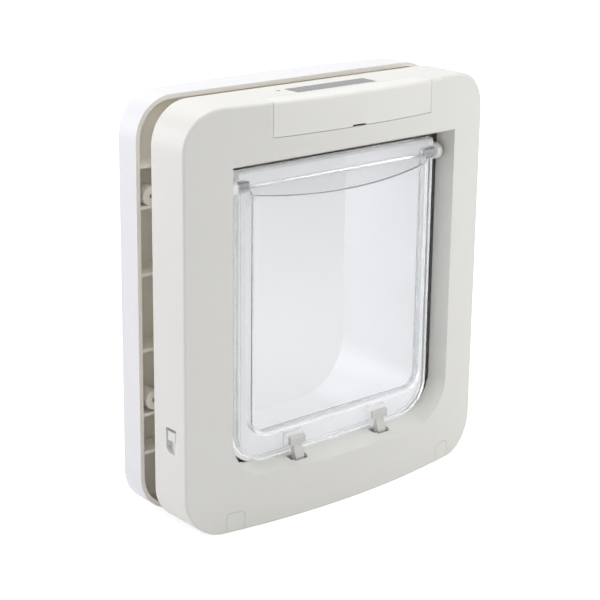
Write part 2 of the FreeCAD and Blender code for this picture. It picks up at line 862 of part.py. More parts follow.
# Lock catches standing in the sill, with their cam pins
LIP_HALF = size("flap_lip_depth") / 2
CATCH_REAR = HINGE_Y - LIP_HALF - size("catch_flap_gap")
CATCH_FRONT = CATCH_REAR - size("catch_thickness")
CATCH_X = MOUTH_HALF - size("catch_inset")
HEAD_TOP = size("catch_top")
HEAD_BOTTOM = HEAD_TOP - size("catch_head_height")
CAM_PIN_Z = size("cam_pin_height")
BAR_FRONT = CATCH_REAR + size("lock_side_gap")
BAR_REAR = BAR_FRONT + size("cam_bar_thickness")
CATCH_FOOT = CAM_PIN_Z - size("catch_foot")
for side, sign in SIDES:
    middle_x = CATCH_X * sign
    lean_z = HEAD_BOTTOM - size("catch_lean_height")
    stem = polygon_prism(
        "catch_stem_" + side,
        "YZ_Plane",
        middle_x,
        [
            (CATCH_REAR, CATCH_FOOT),
            (CATCH_FRONT, CATCH_FOOT),
            (CATCH_FRONT, lean_z),
            (CATCH_FRONT + size("catch_lean"), HEAD_BOTTOM + 1),
            (CATCH_REAR, HEAD_BOTTOM + 1),
        ],
        size("catch_stem_width"),
        True,
    )
    head_front = CATCH_FRONT + size("catch_head_step")
    head = polygon_prism(
        "catch_head_" + side,
        "YZ_Plane",
        middle_x,
        [
            (CATCH_REAR, HEAD_BOTTOM),
            (head_front, HEAD_BOTTOM),
            (head_front, HEAD_TOP - size("catch_head_chamfer")),
            (head_front + size("catch_head_chamfer"), HEAD_TOP),
            (CATCH_REAR, HEAD_TOP),
        ],
        size("catch_head_width"),
        True,
    )
    pin = cylinder(
        "catch_pin_" + side,
        size("cam_pin_radius"),
        BAR_REAR - CATCH_REAR + 1,
        (middle_x, CATCH_REAR - 1, CAM_PIN_Z),
        ALONG_Y,
    )
    finish("catch_" + side, fuse("catch_body_" + side, [stem, head, pin]))

# Openings in the sill that the catches drop into
catch_slots = []
SLOT_STEP_Y = CATCH_FRONT + size("catch_slot_step")
SLOT_LOW = MOUTH_SILL - SHELL * 2
SLOT_HIGH = THROAT_SILL + SHELL
for side, sign in SIDES:
    middle_x = CATCH_X * sign
    wide = size("catch_head_width") / 2 + size("catch_slot_side_gap")
    narrow = size("catch_slot_front_width") / 2
    catch_slots.append(
        box(
            "catch_slot_back_" + side,
            (middle_x - wide, SLOT_STEP_Y, SLOT_LOW),
            (middle_x + wide, CATCH_REAR + size("catch_slot_rear_gap"), SLOT_HIGH),
        )
    )
    catch_slots.append(
        box(
            "catch_slot_front_" + side,
            (middle_x - narrow, CATCH_FRONT - size("catch_slot_front"), SLOT_LOW),
            (middle_x + narrow, SLOT_STEP_Y + 1, SLOT_HIGH),
        )
    )

case_posts = four_cylinders(
    "case_post",
    CASE_PLACES,
    size("case_screw_radius") + size("case_post_wall"),
    FACE_APEX,
    UNIT_REAR - SHELL - SEAT,
)
case_bores = four_cylinders(
    "case_bore",
    CASE_PLACES,
    size("case_screw_radius") + size("thread_gap"),
    UNIT_REAR - size("case_screw_length") - SHELL,
    UNIT_REAR + 1,
)
fascia_inside = fuse(
    "fascia_furniture",
    [bezel_skin, backing_right, mirrored("latch_backing_left", backing_right)] + case_posts,
)
fascia_stock = fuse("fascia_stock", [shell, common("fascia_furniture_in", [fascia_inside, outer_block])])
fascia_cuts = fuse(
    "fascia_openings",
    [mouth, lid_hole, window_hole, lamp_hole, recess_cut_right, mirrored("recess_cut_left", recess_cut_right)]
    + cover_holes
    + catch_slots
    + case_bores,
)
finish("front_fascia", cut("fascia_body", fascia_stock, fascia_cuts))

# Rear chassis: back plate, tunnel, collar, screw posts, hinge ears
TUNNEL_FRONT = THROAT + SEAT
COLLAR_FRONT = THROAT + size("collar_setback")
COLLAR_REAR = COLLAR_FRONT + size("collar_thickness")
COLLAR_OVERLAP = size("collar_overlap")
PLATE_FRONT = UNIT_REAR - SHELL
back_plate = common("back_plate", [chassis_room, slab("back_plate_room", PLATE_FRONT, UNIT_REAR)])
tunnel_block = tunnel_loft("tunnel_outside", size("tunnel_wall"))
tunnel_skin = common("tunnel_skin", [tunnel_block, slab("tunnel_room", TUNNEL_FRONT, FAR)])
collar = arch_prism(
    "collar",
    COLLAR_FRONT,
    COLLAR_REAR,
    THROAT_HALF + COLLAR_OVERLAP,
    THROAT_SILL - COLLAR_OVERLAP,
    THROAT_HEAD + COLLAR_OVERLAP,
    size("throat_corner") + COLLAR_OVERLAP,
)
POST_FRONT = FACE - size("post_front")
HEAD_SEAT = POST_FRONT + size("screw_head_depth")
chassis_posts = four_cylinders("chassis_post", FIXING_PLACES, POST_RADIUS, POST_FRONT, UNIT_REAR)
trimmed_posts = common("chassis_posts_in", [fuse("chassis_posts", chassis_posts), chassis_room])
FLAP_HALF = TUNNEL_HALF - size("flap_side_gap")
KNUCKLE_END = FLAP_HALF + size("knuckle_overhang")
KNUCKLE_START = KNUCKLE_END - size("knuckle_length")
EAR_NEAR = KNUCKLE_END + size("hinge_ear_gap")
EAR_FAR = EAR_NEAR + size("hinge_ear_thickness")
EAR_R = size("hinge_ear_radius")
PIN_R = size("hinge_pin_radius")
PIN_BORE_R = PIN_R + size("running_gap")
ears, ear_bores = [], []
for side, sign in SIDES:
    low_x, high_x = both_ways(sign, EAR_NEAR, EAR_FAR)
    ear_start = (low_x, HINGE_Y, HINGE_Z)
    ears.append(cylinder("ear_round_" + side, EAR_R, EAR_FAR - EAR_NEAR, ear_start, ALONG_X))
    ears.append(
        box(
            "ear_arm_" + side,
            (low_x, HINGE_Y, HINGE_Z - EAR_R),
            (high_x, COLLAR_FRONT + 1, HINGE_Z + EAR_R),
        )
    )
    bore_start = (low_x - 1, HINGE_Y, HINGE_Z)
    bore_length = EAR_FAR - EAR_NEAR + 2
    ear_bores.append(cylinder("ear_bore_" + side, PIN_BORE_R, bore_length, bore_start, ALONG_X))
BOARD_HALF = UPPER_PLACE[0] - POST_RADIUS - size("board_post_gap")
BOARD_REAR = PLATE_FRONT - size("standoff_length")
BOARD_FRONT = BOARD_REAR - size("board_thickness")
BOARD_TOP = TOP_WALL - size("board_top_gap")
BOARD_LOW = BOARD_TOP - size("board_height")
standoff_x = BOARD_HALF - size("standoff_inset")
standoff_places = {
    "low": (standoff_x, BOARD_LOW + size("standoff_inset")),
    "high": (standoff_x, BOARD_TOP - size("standoff_inset")),
}
standoffs = four_cylinders("standoff", standoff_places, size("standoff_radius"), BOARD_REAR, UNIT_REAR)
chassis_stock = fuse("chassis_stock", [back_plate, tunnel_skin, collar, trimmed_posts] + ears + standoffs)
HOLE_GAP = size("screw_hole_gap")
CASE_SEAT = UNIT_REAR - size("case_screw_head_height")
chassis_cuts = [tunnel_loft("tunnel_space", 0)] + ear_bores
for name, places, radius, front, rear in (
    ("head_pocket", FIXING_PLACES, size("screw_head_radius") + HOLE_GAP, POST_FRONT - 1, HEAD_SEAT),
    ("fixing_bore", FIXING_PLACES, size("screw_radius") + HOLE_GAP, POST_FRONT, FRAME_APEX),
    ("case_hole", CASE_PLACES, size("case_screw_radius") + HOLE_GAP, PLATE_FRONT - 1, UNIT_REAR + 1),
    ("case_pocket", CASE_PLACES, size("case_screw_head") + HOLE_GAP, CASE_SEAT, UNIT_REAR + 1),
):
    chassis_cuts += four_cylinders(name, places, radius, front, rear)
finish("rear_chassis", cut("chassis_body", chassis_stock, fuse("chassis_openings", chassis_cuts)))

# Screws
fixing_screws = []
SCREW_LENGTH = FRAME_SIDE_REAR - size("screw_end_margin") - HEAD_SEAT
HEAD_START = HEAD_SEAT - size("screw_head_height")
DRIVE_END = HEAD_START + size("drive_depth")
wide, thin = size("drive_length") / 2, size("drive_width") / 2
for level, (across, height) in FIXING_PLACES.items():
    for side, sign in SIDES:
        label = f"fixing_screw_{level}_{side}"
        place_x = across * sign
        shank = cylinder(
            label + "_shank", size("screw_radius"), SCREW_LENGTH, (place_x, HEAD_SEAT, height), ALONG_Y
        )
        screw_head = cylinder(
            label + "_head",
            size("screw_head_radius"),
            size("screw_head_height"),
            (place_x, HEAD_START, height),
            ALONG_Y,
        )
        slots = []
        for way, half_x, half_z in (("flat", wide, thin), ("upright", thin, wide)):
            slots.append(
                box(
                    f"{label}_slot_{way}",
                    (place_x - half_x, HEAD_START - 1, height - half_z),
                    (place_x + half_x, DRIVE_END, height + half_z),
                )
            )
        blank = fuse(label + "_blank", [shank, screw_head])
        fixing_screws.append(cut(label, blank, fuse(label + "_drive", slots)))
finish("fixing_screws", group("fixing_screw_set", fixing_screws))
case_screws = []
case_length = size("case_screw_length")
cap_height = size("case_screw_head_height") - SEAT
for level, (across, height) in CASE_PLACES.items():
    for side, sign in SIDES:
        label = f"case_screw_{level}_{side}"
        tip = (across * sign, CASE_SEAT - case_length, height)
        seat = (across * sign, CASE_SEAT, height)
        shank = cylinder(label + "_shank", size("case_screw_radius"), case_length, tip, ALONG_Y)
        cap = cylinder(label + "_head", size("case_screw_head"), cap_height, seat, ALONG_Y)
        case_screws.append(fuse(label, [shank, cap]))
finish("case_screws", group("case_screw_set", case_screws))

# Flap: rim flange with a lip, top bar, raised clear pane and knuckles
FLAP_SILL = TUNNEL_FLOOR + size("flap_sill_gap")
FLAP_TOP = THROAT_HEAD - size("flap_head_gap")
FLAP_CORNER = size("flap_corner")
SHEET = size("flap_sheet")
FLANGE_FRONT = HINGE_Y - SHEET / 2
FLANGE_REAR = HINGE_Y + SHEET / 2
LIP_FRONT = HINGE_Y - LIP_HALF
LIP_REAR = HINGE_Y + LIP_HALF
LIP = size("flap_lip_width")
flap_outline = (FLAP_HALF, FLAP_SILL, HINGE_Z + 1, FLAP_CORNER)
lip_outline = (FLAP_HALF - LIP, FLAP_SILL + LIP, HINGE_Z + 2, FLAP_CORNER - LIP)
flange = arch_prism("flap_flange", FLANGE_FRONT, FLANGE_REAR, *flap_outline)
lip_outside = arch_prism("flap_lip_outside", LIP_FRONT, LIP_REAR, *flap_outline)
lip_inside = arch_prism("flap_lip_inside", LIP_FRONT - 1, LIP_REAR + 1, *lip_outline)
flap_bar = box("flap_bar", (-FLAP_HALF, LIP_FRONT, HINGE_Z), (FLAP_HALF, LIP_REAR, FLAP_TOP))
PANE_HALF = FLAP_HALF - size("pane_side_margin")
PANE_SILL = FLAP_SILL + size("pane_sill_margin")
PANE_FRONT = FLANGE_FRONT - size("pane_stand")


def pane_loft(name, inset, back):
    """Return the block whose front bulges more toward the top of the pane."""
    body = new_body(name)
    sketches = []
    for level, height, bulge in (
        ("low", FLAP_SILL, size("pane_bulge_low")),
        ("high", HINGE_Z + 1, size("pane_bulge")),
    ):
        half = PANE_HALF - inset
        apex = PANE_FRONT - bulge + inset
        radius = bow_radius(PANE_HALF, bulge) - inset
        sketches.append(bowed_plan(body, f"{name}_{level}", height, half, back, apex, radius, -1))
    loft = body.newObject("PartDesign::AdditiveLoft", name + "_loft")
    loft.Profile = sketches[0]
    loft.Sections = [sketches[1]]
    loft.Ruled = True
    document.recompute()
    return body


def shoulder(name, skin):
    """Return the wedge above the slanted shoulder of the pane, lowered by a skin."""
    top = HINGE_Z - skin
    far_front = FLANGE_FRONT - size("shoulder_run") * 2
    return polygon_prism(
        name,
        "YZ_Plane",
        0,
        [
            (FLANGE_FRONT, top),
            (far_front, top - size("shoulder_drop") * 2),
            (far_front, FLAP_TOP + 5),
            (LIP_REAR + 5, FLAP_TOP + 5),
            (LIP_REAR + 5, top),
        ],
        HALF_WIDTH * 2,
        True,
    )


pane_prism = arch_prism(
    "pane_outline", FACE_APEX, FLANGE_REAR, PANE_HALF, PANE_SILL, HINGE_Z + 1, size("pane_corner")
)
pane_room = arch_prism(
    "pane_hollow_outline",
    FACE_APEX,
    LIP_REAR + 1,
    PANE_HALF - SHEET,
    PANE_SILL + SHEET,
    HINGE_Z + 1,
    size("pane_corner") - SHEET,
)
pane_outside = cut(
    "pane_outside",
    common("pane_block", [pane_prism, pane_loft("pane_front", 0, FLANGE_REAR)]),
    shoulder("shoulder_outside", 0),
)
pane_hollow = cut(
    "pane_hollow",
    common("pane_hollow_block", [pane_room, pane_loft("pane_hollow_front", SHEET, LIP_REAR + 1)]),
    shoulder("shoulder_inside", size("shoulder_skin")),
)
flap_parts = [flange, cut("flap_lip", lip_outside, lip_inside), flap_bar, pane_outside]
flap_bores = []
KNUCKLE_LENGTH = size("knuckle_length")
KNUCKLE_R = size("knuckle_radius")
STRIKER_Z = FLAP_SILL + size("striker_lift")
striker_half = size("striker_width") / 2
for side, sign in SIDES:
    low_x, high_x = both_ways(sign, KNUCKLE_START, KNUCKLE_END)
    knuckle_place = (low_x, HINGE_Y, HINGE_Z)
    knuckle = cylinder("knuckle_" + side, KNUCKLE_R, KNUCKLE_LENGTH, knuckle_place, ALONG_X)
    flap_parts.append(knuckle)
    bore_place = (low_x - 1, HINGE_Y, HINGE_Z)
    bore = cylinder("knuckle_bore_" + side, PIN_BORE_R, KNUCKLE_LENGTH + 2, bore_place, ALONG_X)
    flap_bores.append(bore)
    middle_x = CATCH_X * sign
    flap_parts.append(
        box(
            "striker_" + side,
            (middle_x - striker_half, LIP_FRONT, STRIKER_Z),
            (middle_x + striker_half, FLANGE_FRONT + 1, STRIKER_Z + size("striker_height")),
        )
    )
flap_solid = fuse("flap_solid", flap_parts)
finish("flap_panel", cut("flap_body", flap_solid, fuse("flap_openings", [pane_hollow] + flap_bores)))

# Hinge pins, pressed in from outside the ears
CAP_FAR = EAR_FAR + size("pin_head_length")
for side, sign in SIDES:
    shank_x = both_ways(sign, KNUCKLE_START, EAR_FAR)[0]
    cap_x = both_ways(sign, EAR_FAR, CAP_FAR)[0]
    shank = cylinder(
        "hinge_pin_shank_" + side, PIN_R, EAR_FAR - KNUCKLE_START, (shank_x, HINGE_Y, HINGE_Z), ALONG_X
    )
    cap = cylinder(
        "hinge_pin_cap_" + side,
        size("pin_head_radius"),
        size("pin_head_length"),
        (cap_x, HINGE_Y, HINGE_Z),
        ALONG_X,
    )
    finish("hinge_pin_" + side, fuse("hinge_pin_body_" + side, [shank, cap]))

# Lock: cam slider, tray, solenoid and plunger
TRAY_FLOOR_TOP = SHELL + size("tray_wall")
TRAY_TOP = SHELL + size("tray_height")
BAR_BOTTOM = TRAY_FLOOR_TOP + SEAT
BAR_TOP = BAR_BOTTOM + size("cam_bar_height")
TRAVEL = size("catch_travel")
OVERHANG = size("cam_bar_overhang")
BAR_LEFT = -CATCH_X - TRAVEL - OVERHANG
BAR_RIGHT = CATCH_X + OVERHANG
LUG_FRONT = CATCH_FRONT + size("catch_head_step")
PLUNGER_Z = size("plunger_height")
PLUNGER_Y = (LUG_FRONT + BAR_REAR) / 2
PLUNGER_R = size("plunger_radius")
LUG_REACH = PLUNGER_R + size("lug_margin")
bar = box("slider_bar", (BAR_LEFT, BAR_FRONT, BAR_BOTTOM), (BAR_RIGHT, BAR_REAR, BAR_TOP))
lug = box(
    "slider_lug",
    (BAR_RIGHT - size("lug_thickness"), LUG_FRONT, PLUNGER_Z - LUG_REACH),
    (BAR_RIGHT, BAR_REAR, PLUNGER_Z + LUG_REACH),
)
slot_radius = size("cam_pin_radius") + size("cam_slot_gap")
cam_cuts = []
deep = size("cam_bar_thickness") + 2
slant = slot_radius * math.sqrt(0.5)
low_z = CAM_PIN_Z - TRAVEL
for side, sign in SIDES:
    top_x = CATCH_X * sign
    low_x = top_x - TRAVEL
    for end, place_x, place_z in (("top", top_x, CAM_PIN_Z), ("low", low_x, low_z)):
        start = (place_x, BAR_FRONT - 1, place_z)
        cam_cuts.append(cylinder(f"cam_{end}_{side}", slot_radius, deep, start, ALONG_Y))
    cam_cuts.append(
        polygon_prism(
            "cam_slot_" + side,
            "XZ_Plane",
            -(BAR_REAR + 1),
            [
                (low_x + slant, low_z - slant),
                (top_x + slant, CAM_PIN_Z - slant),
                (top_x - slant, CAM_PIN_Z + slant),
                (low_x - slant, low_z + slant),
            ],
            deep,
        )
    )
finish("lock_slider", cut("slider_body", fuse("slider_stock", [bar, lug]), fuse("slider_slots", cam_cuts)))
SOLENOID_LEFT = BAR_RIGHT + TRAVEL + size("solenoid_end_gap")
SOLENOID_RIGHT = SOLENOID_LEFT + size("solenoid_length")
TRAY_FRONT = CATCH_FRONT - size("lock_side_gap") - size("tray_wall")
TRAY_BACK = BAR_REAR + size("lock_side_gap")
TRAY_END = TRAY_BACK + size("tray_back_wall")
plunger_length = SOLENOID_LEFT - BAR_RIGHT + size("plunger_engagement")
plunger_start = (BAR_RIGHT, PLUNGER_Y, PLUNGER_Z)
finish("lock_plunger", cylinder("plunger_rod", PLUNGER_R, plunger_length, plunger_start, ALONG_X))
solenoid_block = box(
    "solenoid_block",
    (SOLENOID_LEFT, TRAY_FRONT + size("tray_wall"), TRAY_FLOOR_TOP),
    (SOLENOID_RIGHT, TRAY_BACK, TRAY_FLOOR_TOP + size("solenoid_height")),
)
solenoid_bore = cylinder(
    "solenoid_bore",
    PLUNGER_R + size("running_gap"),
    size("plunger_engagement") + TRAVEL + 2,
    (SOLENOID_LEFT - 1, PLUNGER_Y, PLUNGER_Z),
    ALONG_X,
)
finish("lock_solenoid", cut("solenoid_body", solenoid_block, solenoid_bore))
TRAY_LEFT = BAR_LEFT - size("tray_end_gap")
TRAY_FRONT_IN = TRAY_FRONT + size("tray_wall")
tray_parts = [
    box("tray_floor", (TRAY_LEFT, TRAY_FRONT, SHELL), (SOLENOID_RIGHT, TRAY_END, TRAY_FLOOR_TOP)),
    box("tray_back", (TRAY_LEFT, TRAY_BACK, SHELL), (SOLENOID_RIGHT, TRAY_END, TRAY_TOP)),
    box("tray_front", (TRAY_LEFT, TRAY_FRONT, SHELL), (SOLENOID_RIGHT, TRAY_FRONT_IN, TRAY_TOP)),
]
guide_near = size("catch_stem_width") / 2 + size("lock_side_gap")
guide_far = guide_near + size("guide_thickness")
for side, sign in SIDES:
    for edge, way in (("west", -1), ("east", 1)):
        near_x, far_x = both_ways(way, guide_near, guide_far)
        tray_parts.append(
            box(
                f"catch_guide_{side}_{edge}",
                (near_x + CATCH_X * sign, TRAY_FRONT, TRAY_TOP - size("guide_height")),
                (far_x + CATCH_X * sign, CATCH_REAR, TRAY_TOP),
            )
        )
finish("lock_tray", fuse("tray_body", tray_parts))

# Batteries in their holder, behind the lid
NUB_R = size("cell_nub_radius")
nub = size("cell_nub_length")
thin = size("contact_thickness")
contact_half = size("contact_width") / 2
cells, contacts = [], []
for row, row_z in (("low", ROW_LOW), ("high", ROW_HIGH)):
    for side, start_x in (("left", -CELL_REACH), ("right", size("cell_middle_gap"))):
        label = f"cell_{row}_{side}"
        can_start = (start_x + nub, CELL_Y, row_z)
        can = cylinder(label + "_can", CELL_R, size("cell_length") - nub, can_start, ALONG_X)
        tip = cylinder(label + "_nub", NUB_R, nub, (start_x, CELL_Y, row_z), ALONG_X)
        cells.append(fuse(label, [can, tip]))
    for side, sign in SIDES:
        label = f"contact_{row}_{side}"
        plate_low, plate_high = both_ways(sign, HOLDER_IN - thin, HOLDER_IN)
        plate = box(
            label + "_plate",
            (plate_low, CELL_Y - contact_half, row_z - contact_half),
            (plate_high, CELL_Y + contact_half, row_z + contact_half),
        )
        spring_start = (both_ways(sign, CELL_REACH, HOLDER_IN)[0], CELL_Y, row_z)
        spring = cylinder(label + "_spring", NUB_R, HOLDER_IN - CELL_REACH, spring_start, ALONG_X)
        contacts.append(fuse(label, [plate, spring]))
finish("battery_cells", group("cell_set", cells))
finish("battery_contacts", group("contact_set", contacts))
WING_HALF = lid_half - size("wing_side_gap")
WING_Y = FACE_APEX + size("wing_depth")
WING_REAR = WING_Y + size("wing_thickness")
WING_LOW = UPPER_PLACE[1] + POST_RADIUS + size("wing_post_gap")
WING_HIGH = TOP_WALL - size("wing_top_gap")
holder_outside = box(
    "holder_outside",
    (-HOLDER_IN - HOLDER_WALL, CELL_FRONT, HOLDER_BOTTOM),
    (HOLDER_IN + HOLDER_WALL, HOLDER_BACK + HOLDER_WALL, HOLDER_TOP),
)
holder_inside = box(
    "holder_inside",
    (-HOLDER_IN, CELL_FRONT - 1, HOLDER_FLOOR),
    (HOLDER_IN, HOLDER_BACK, HOLDER_TOP + 1),
)
wings = box("holder_wings", (-WING_HALF, WING_Y, WING_LOW), (WING_HALF, WING_REAR, WING_HIGH))
wing_middle = box(
    "wing_middle",
    (-HOLDER_IN, WING_Y - 1, WING_LOW - 1),
    (HOLDER_IN, WING_REAR + 1, WING_HIGH + 1),
)
holder_tray = cut("holder_tray", holder_outside, holder_inside)
holder_stock = fuse("holder_stock", [holder_tray, cut("holder_wing_pair", wings, wing_middle)])
BUTTON_R = size("button_radius")
BUTTON_X = lid_half - size("button_inset")
BUTTON_Z = WING_LOW + size("button_rise")
button_holes = []
for name, sign in (("learn_button", -1), ("lock_button", 1)):
    place_x = BUTTON_X * sign
    hole_start = (place_x, WING_Y - 1, BUTTON_Z)
    hole_length = size("wing_thickness") + 2
    button_holes.append(
        cylinder(name + "_hole", BUTTON_R + size("running_gap"), hole_length, hole_start, ALONG_Y)
    )
    cap_start = (place_x, WING_REAR - size("button_length"), BUTTON_Z)
    cap = cylinder(name + "_cap", BUTTON_R, size("button_length"), cap_start, ALONG_Y)
    rim_start = (place_x, WING_REAR, BUTTON_Z)
    rim = cylinder(
        name + "_rim", size("button_flange_radius"), size("button_flange"), rim_start, ALONG_Y
    )
    finish(name, fuse(name + "_body", [cap, rim]))
finish("battery_tray", cut("holder_body", holder_stock, fuse("button_holes", button_holes)))

# Circuit board and the antenna coil round the tunnel
board_plate = box("board_plate", (-BOARD_HALF, BOARD_FRONT, BOARD_LOW), (BOARD_HALF, BOARD_REAR, BOARD_TOP))
finish("circuit_board", board_plate)
coil_inside = size("tunnel_wall") + size("antenna_gap")
COIL_Y = COLLAR_REAR + size("antenna_collar_gap")
coil_ring = cut(
    "coil_ring",
    tunnel_loft("coil_outside", coil_inside + size("antenna_thickness")),
    tunnel_loft("coil_inside", coil_inside),
)
coil_room = slab("coil_room", COIL_Y, PLATE_FRONT - size("antenna_plate_gap"))
finish("antenna_coil", common("coil_body", [coil_ring, coil_room]))

# Outdoor frame with its sleeve, ribs, bosses and screw posts
frame_wall = size("frame_wall")
FRAME_BOW = size("frame_bow")
frame_outside = bowed_block("frame_outside", 0, FRAME_FRONT, FRAME_APEX, FRAME_BOW, 1, EDGE_ROUND)
frame_inside = bowed_block("frame_inside", frame_wall, FRAME_FRONT, FRAME_APEX, FRAME_BOW, 1)
sleeve_inside = size("tunnel_wall") + size("sleeve_gap")
sleeve_space = tunnel_loft("sleeve_space", sleeve_inside)
RIB_FRONT = FRAME_FRONT + size("rib_setback")
rib_half = size("rib_thickness") / 2
furniture = [tunnel_loft("sleeve_outside", sleeve_inside + size("sleeve_wall"))]
rib_heights = (
    size("rib_far_inset"),
    size("rib_middle_inset"),
    MIDDLE_HEIGHT - size("rib_near"),
    MIDDLE_HEIGHT + size("rib_near"),
    HEIGHT - size("rib_middle_inset"),
    HEIGHT - size("rib_far_inset"),
)
for number, middle_z in enumerate(rib_heights, 1):
    furniture.append(
        box(
            f"rib_{number}",
            (-HALF_WIDTH, RIB_FRONT, middle_z - rib_half),
            (HALF_WIDTH, FRAME_APEX, middle_z + rib_half),
        )
    )
boss_x = HALF_WIDTH - size("boss_inset")
boss_places = {"high": (boss_x, HEIGHT - size("boss_drop")), "low": (boss_x, size("boss_rise"))}
furniture += four_cylinders("boss", boss_places, size("boss_radius"), RIB_FRONT, FRAME_APEX)
furniture += four_cylinders("frame_post", FIXING_PLACES, POST_RADIUS, RIB_FRONT, FRAME_APEX)
frame_shell = cut("frame_shell", frame_outside, frame_inside)
frame_furniture = common("frame_furniture", [fuse("frame_furniture_all", furniture), frame_outside])
frame_cuts = [sleeve_space]
frame_cuts += four_cylinders("boss_bore", boss_places, size("boss_bore"), FRAME_FRONT, FRAME_SIDE_REAR)
BORE_END = FRAME_SIDE_REAR - size("bore_end_margin")
frame_cuts += four_cylinders(
    "frame_bore", FIXING_PLACES, size("screw_radius") + size("thread_gap"), FRAME_FRONT, BORE_END
)
frame_stock = fuse("frame_stock", [frame_shell, frame_furniture])
finish("rear_frame", cut("frame_body", frame_stock, fuse("frame_openings", frame_cuts)))

document.recompute()
for item in document.Objects:
    if "Invalid" in item.State or "Error" in item.State:
        raise RuntimeError("not built: " + item.Name)
for node, shape in NODES.items():
    if shape.Shape.isNull() or not shape.Shape.isValid():
        raise RuntimeError("bad shape: " + node)
    shape.Shape.exportStep(f"parts/{node}.step")
    bounds = shape.Shape.BoundBox
    low = (round(bounds.XMin, 2), round(bounds.YMin, 2), round(bounds.ZMin, 2))
    high = (round(bounds.XMax, 2), round(bounds.YMax, 2), round(bounds.ZMax, 2))
    print(node, len(shape.Shape.Solids), low, high)
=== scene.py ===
"""Studio scene of an electronic cat flap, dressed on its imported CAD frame.

Everything is in metres, in the frame of the part: +X to the right seen from indoors,
+Y towards outdoors, +Z up, with the origin under the middle of the assembly.
"""
import logging
import math
from dataclasses import dataclass, field
from enum import Enum
from typing import Any

import bpy
from mathutils import Matrix, Vector

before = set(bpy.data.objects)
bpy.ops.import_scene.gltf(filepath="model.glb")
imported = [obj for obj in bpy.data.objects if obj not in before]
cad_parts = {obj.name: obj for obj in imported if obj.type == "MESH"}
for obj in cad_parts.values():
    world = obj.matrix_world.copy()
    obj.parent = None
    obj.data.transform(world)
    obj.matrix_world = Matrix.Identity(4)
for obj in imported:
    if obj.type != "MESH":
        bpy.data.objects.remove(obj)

logging.basicConfig(level=logging.INFO, format="%(name)s: %(message)s")
log = logging.getLogger("cat_flap")

MM = 0.001
# The passage runs along Y through this point, and this mask keeps what lies across it.
PASSAGE_AXIS = (0.0, 0.0, 0.143)
ACROSS = (1.0, 0.0, 1.0)
ZERO = (0.0, 0.0, 0.0)
Colour = tuple[float, float, float, float]


def srgb(code: str) -> Colour:
    """Turn an sRGB hex code into a linear colour.

    Args:
        code: Six hex digits, with or without a leading hash.

    Returns:
        Linear red, green, blue and an alpha of one.
    """
    code = code.lstrip("#")
    channels = [int(code[place : place + 2], 16) / 255 for place in (0, 2, 4)]
    linear = [c / 12.92 if c <= 0.04045 else ((c + 0.055) / 1.055) ** 2.4 for c in channels]
    return (linear[0], linear[1], linear[2], 1.0)


def add_node(
    tree: bpy.types.NodeTree, kind: str, inputs: dict[Any, Any] | None = None, **settings: Any
) -> bpy.types.Node:
    """Add a node with its settings and links.

    Args:
        tree: The node tree that takes the node.
        kind: The node's type name.
        inputs: Input name or index to a value, or to the output socket that feeds it.
        **settings: Attributes of the node.

    Returns:
        The new node.
    """
    node = tree.nodes.new(kind)
    for name, value in settings.items():
        setattr(node, name, value)
    for name, value in (inputs or {}).items():
        if isinstance(value, bpy.types.NodeSocket):
            tree.links.new(value, node.inputs[name])
        else:
            node.inputs[name].default_value = value
    return node


def new_material(name: str) -> tuple[bpy.types.Material, bpy.types.NodeTree]:
    """Make an empty node material.

    Args:
        name: The material's name.

    Returns:
        The material and its cleared node tree.
    """
    material = bpy.data.materials.new(name)
    material.use_nodes = True
    material.node_tree.nodes.clear()
    return material, material.node_tree


def finish_material(tree: bpy.types.NodeTree, shader: bpy.types.NodeSocket) -> None:
    """Send a shader to the material's output."""
    add_node(tree, "ShaderNodeOutputMaterial", {"Surface": shader})


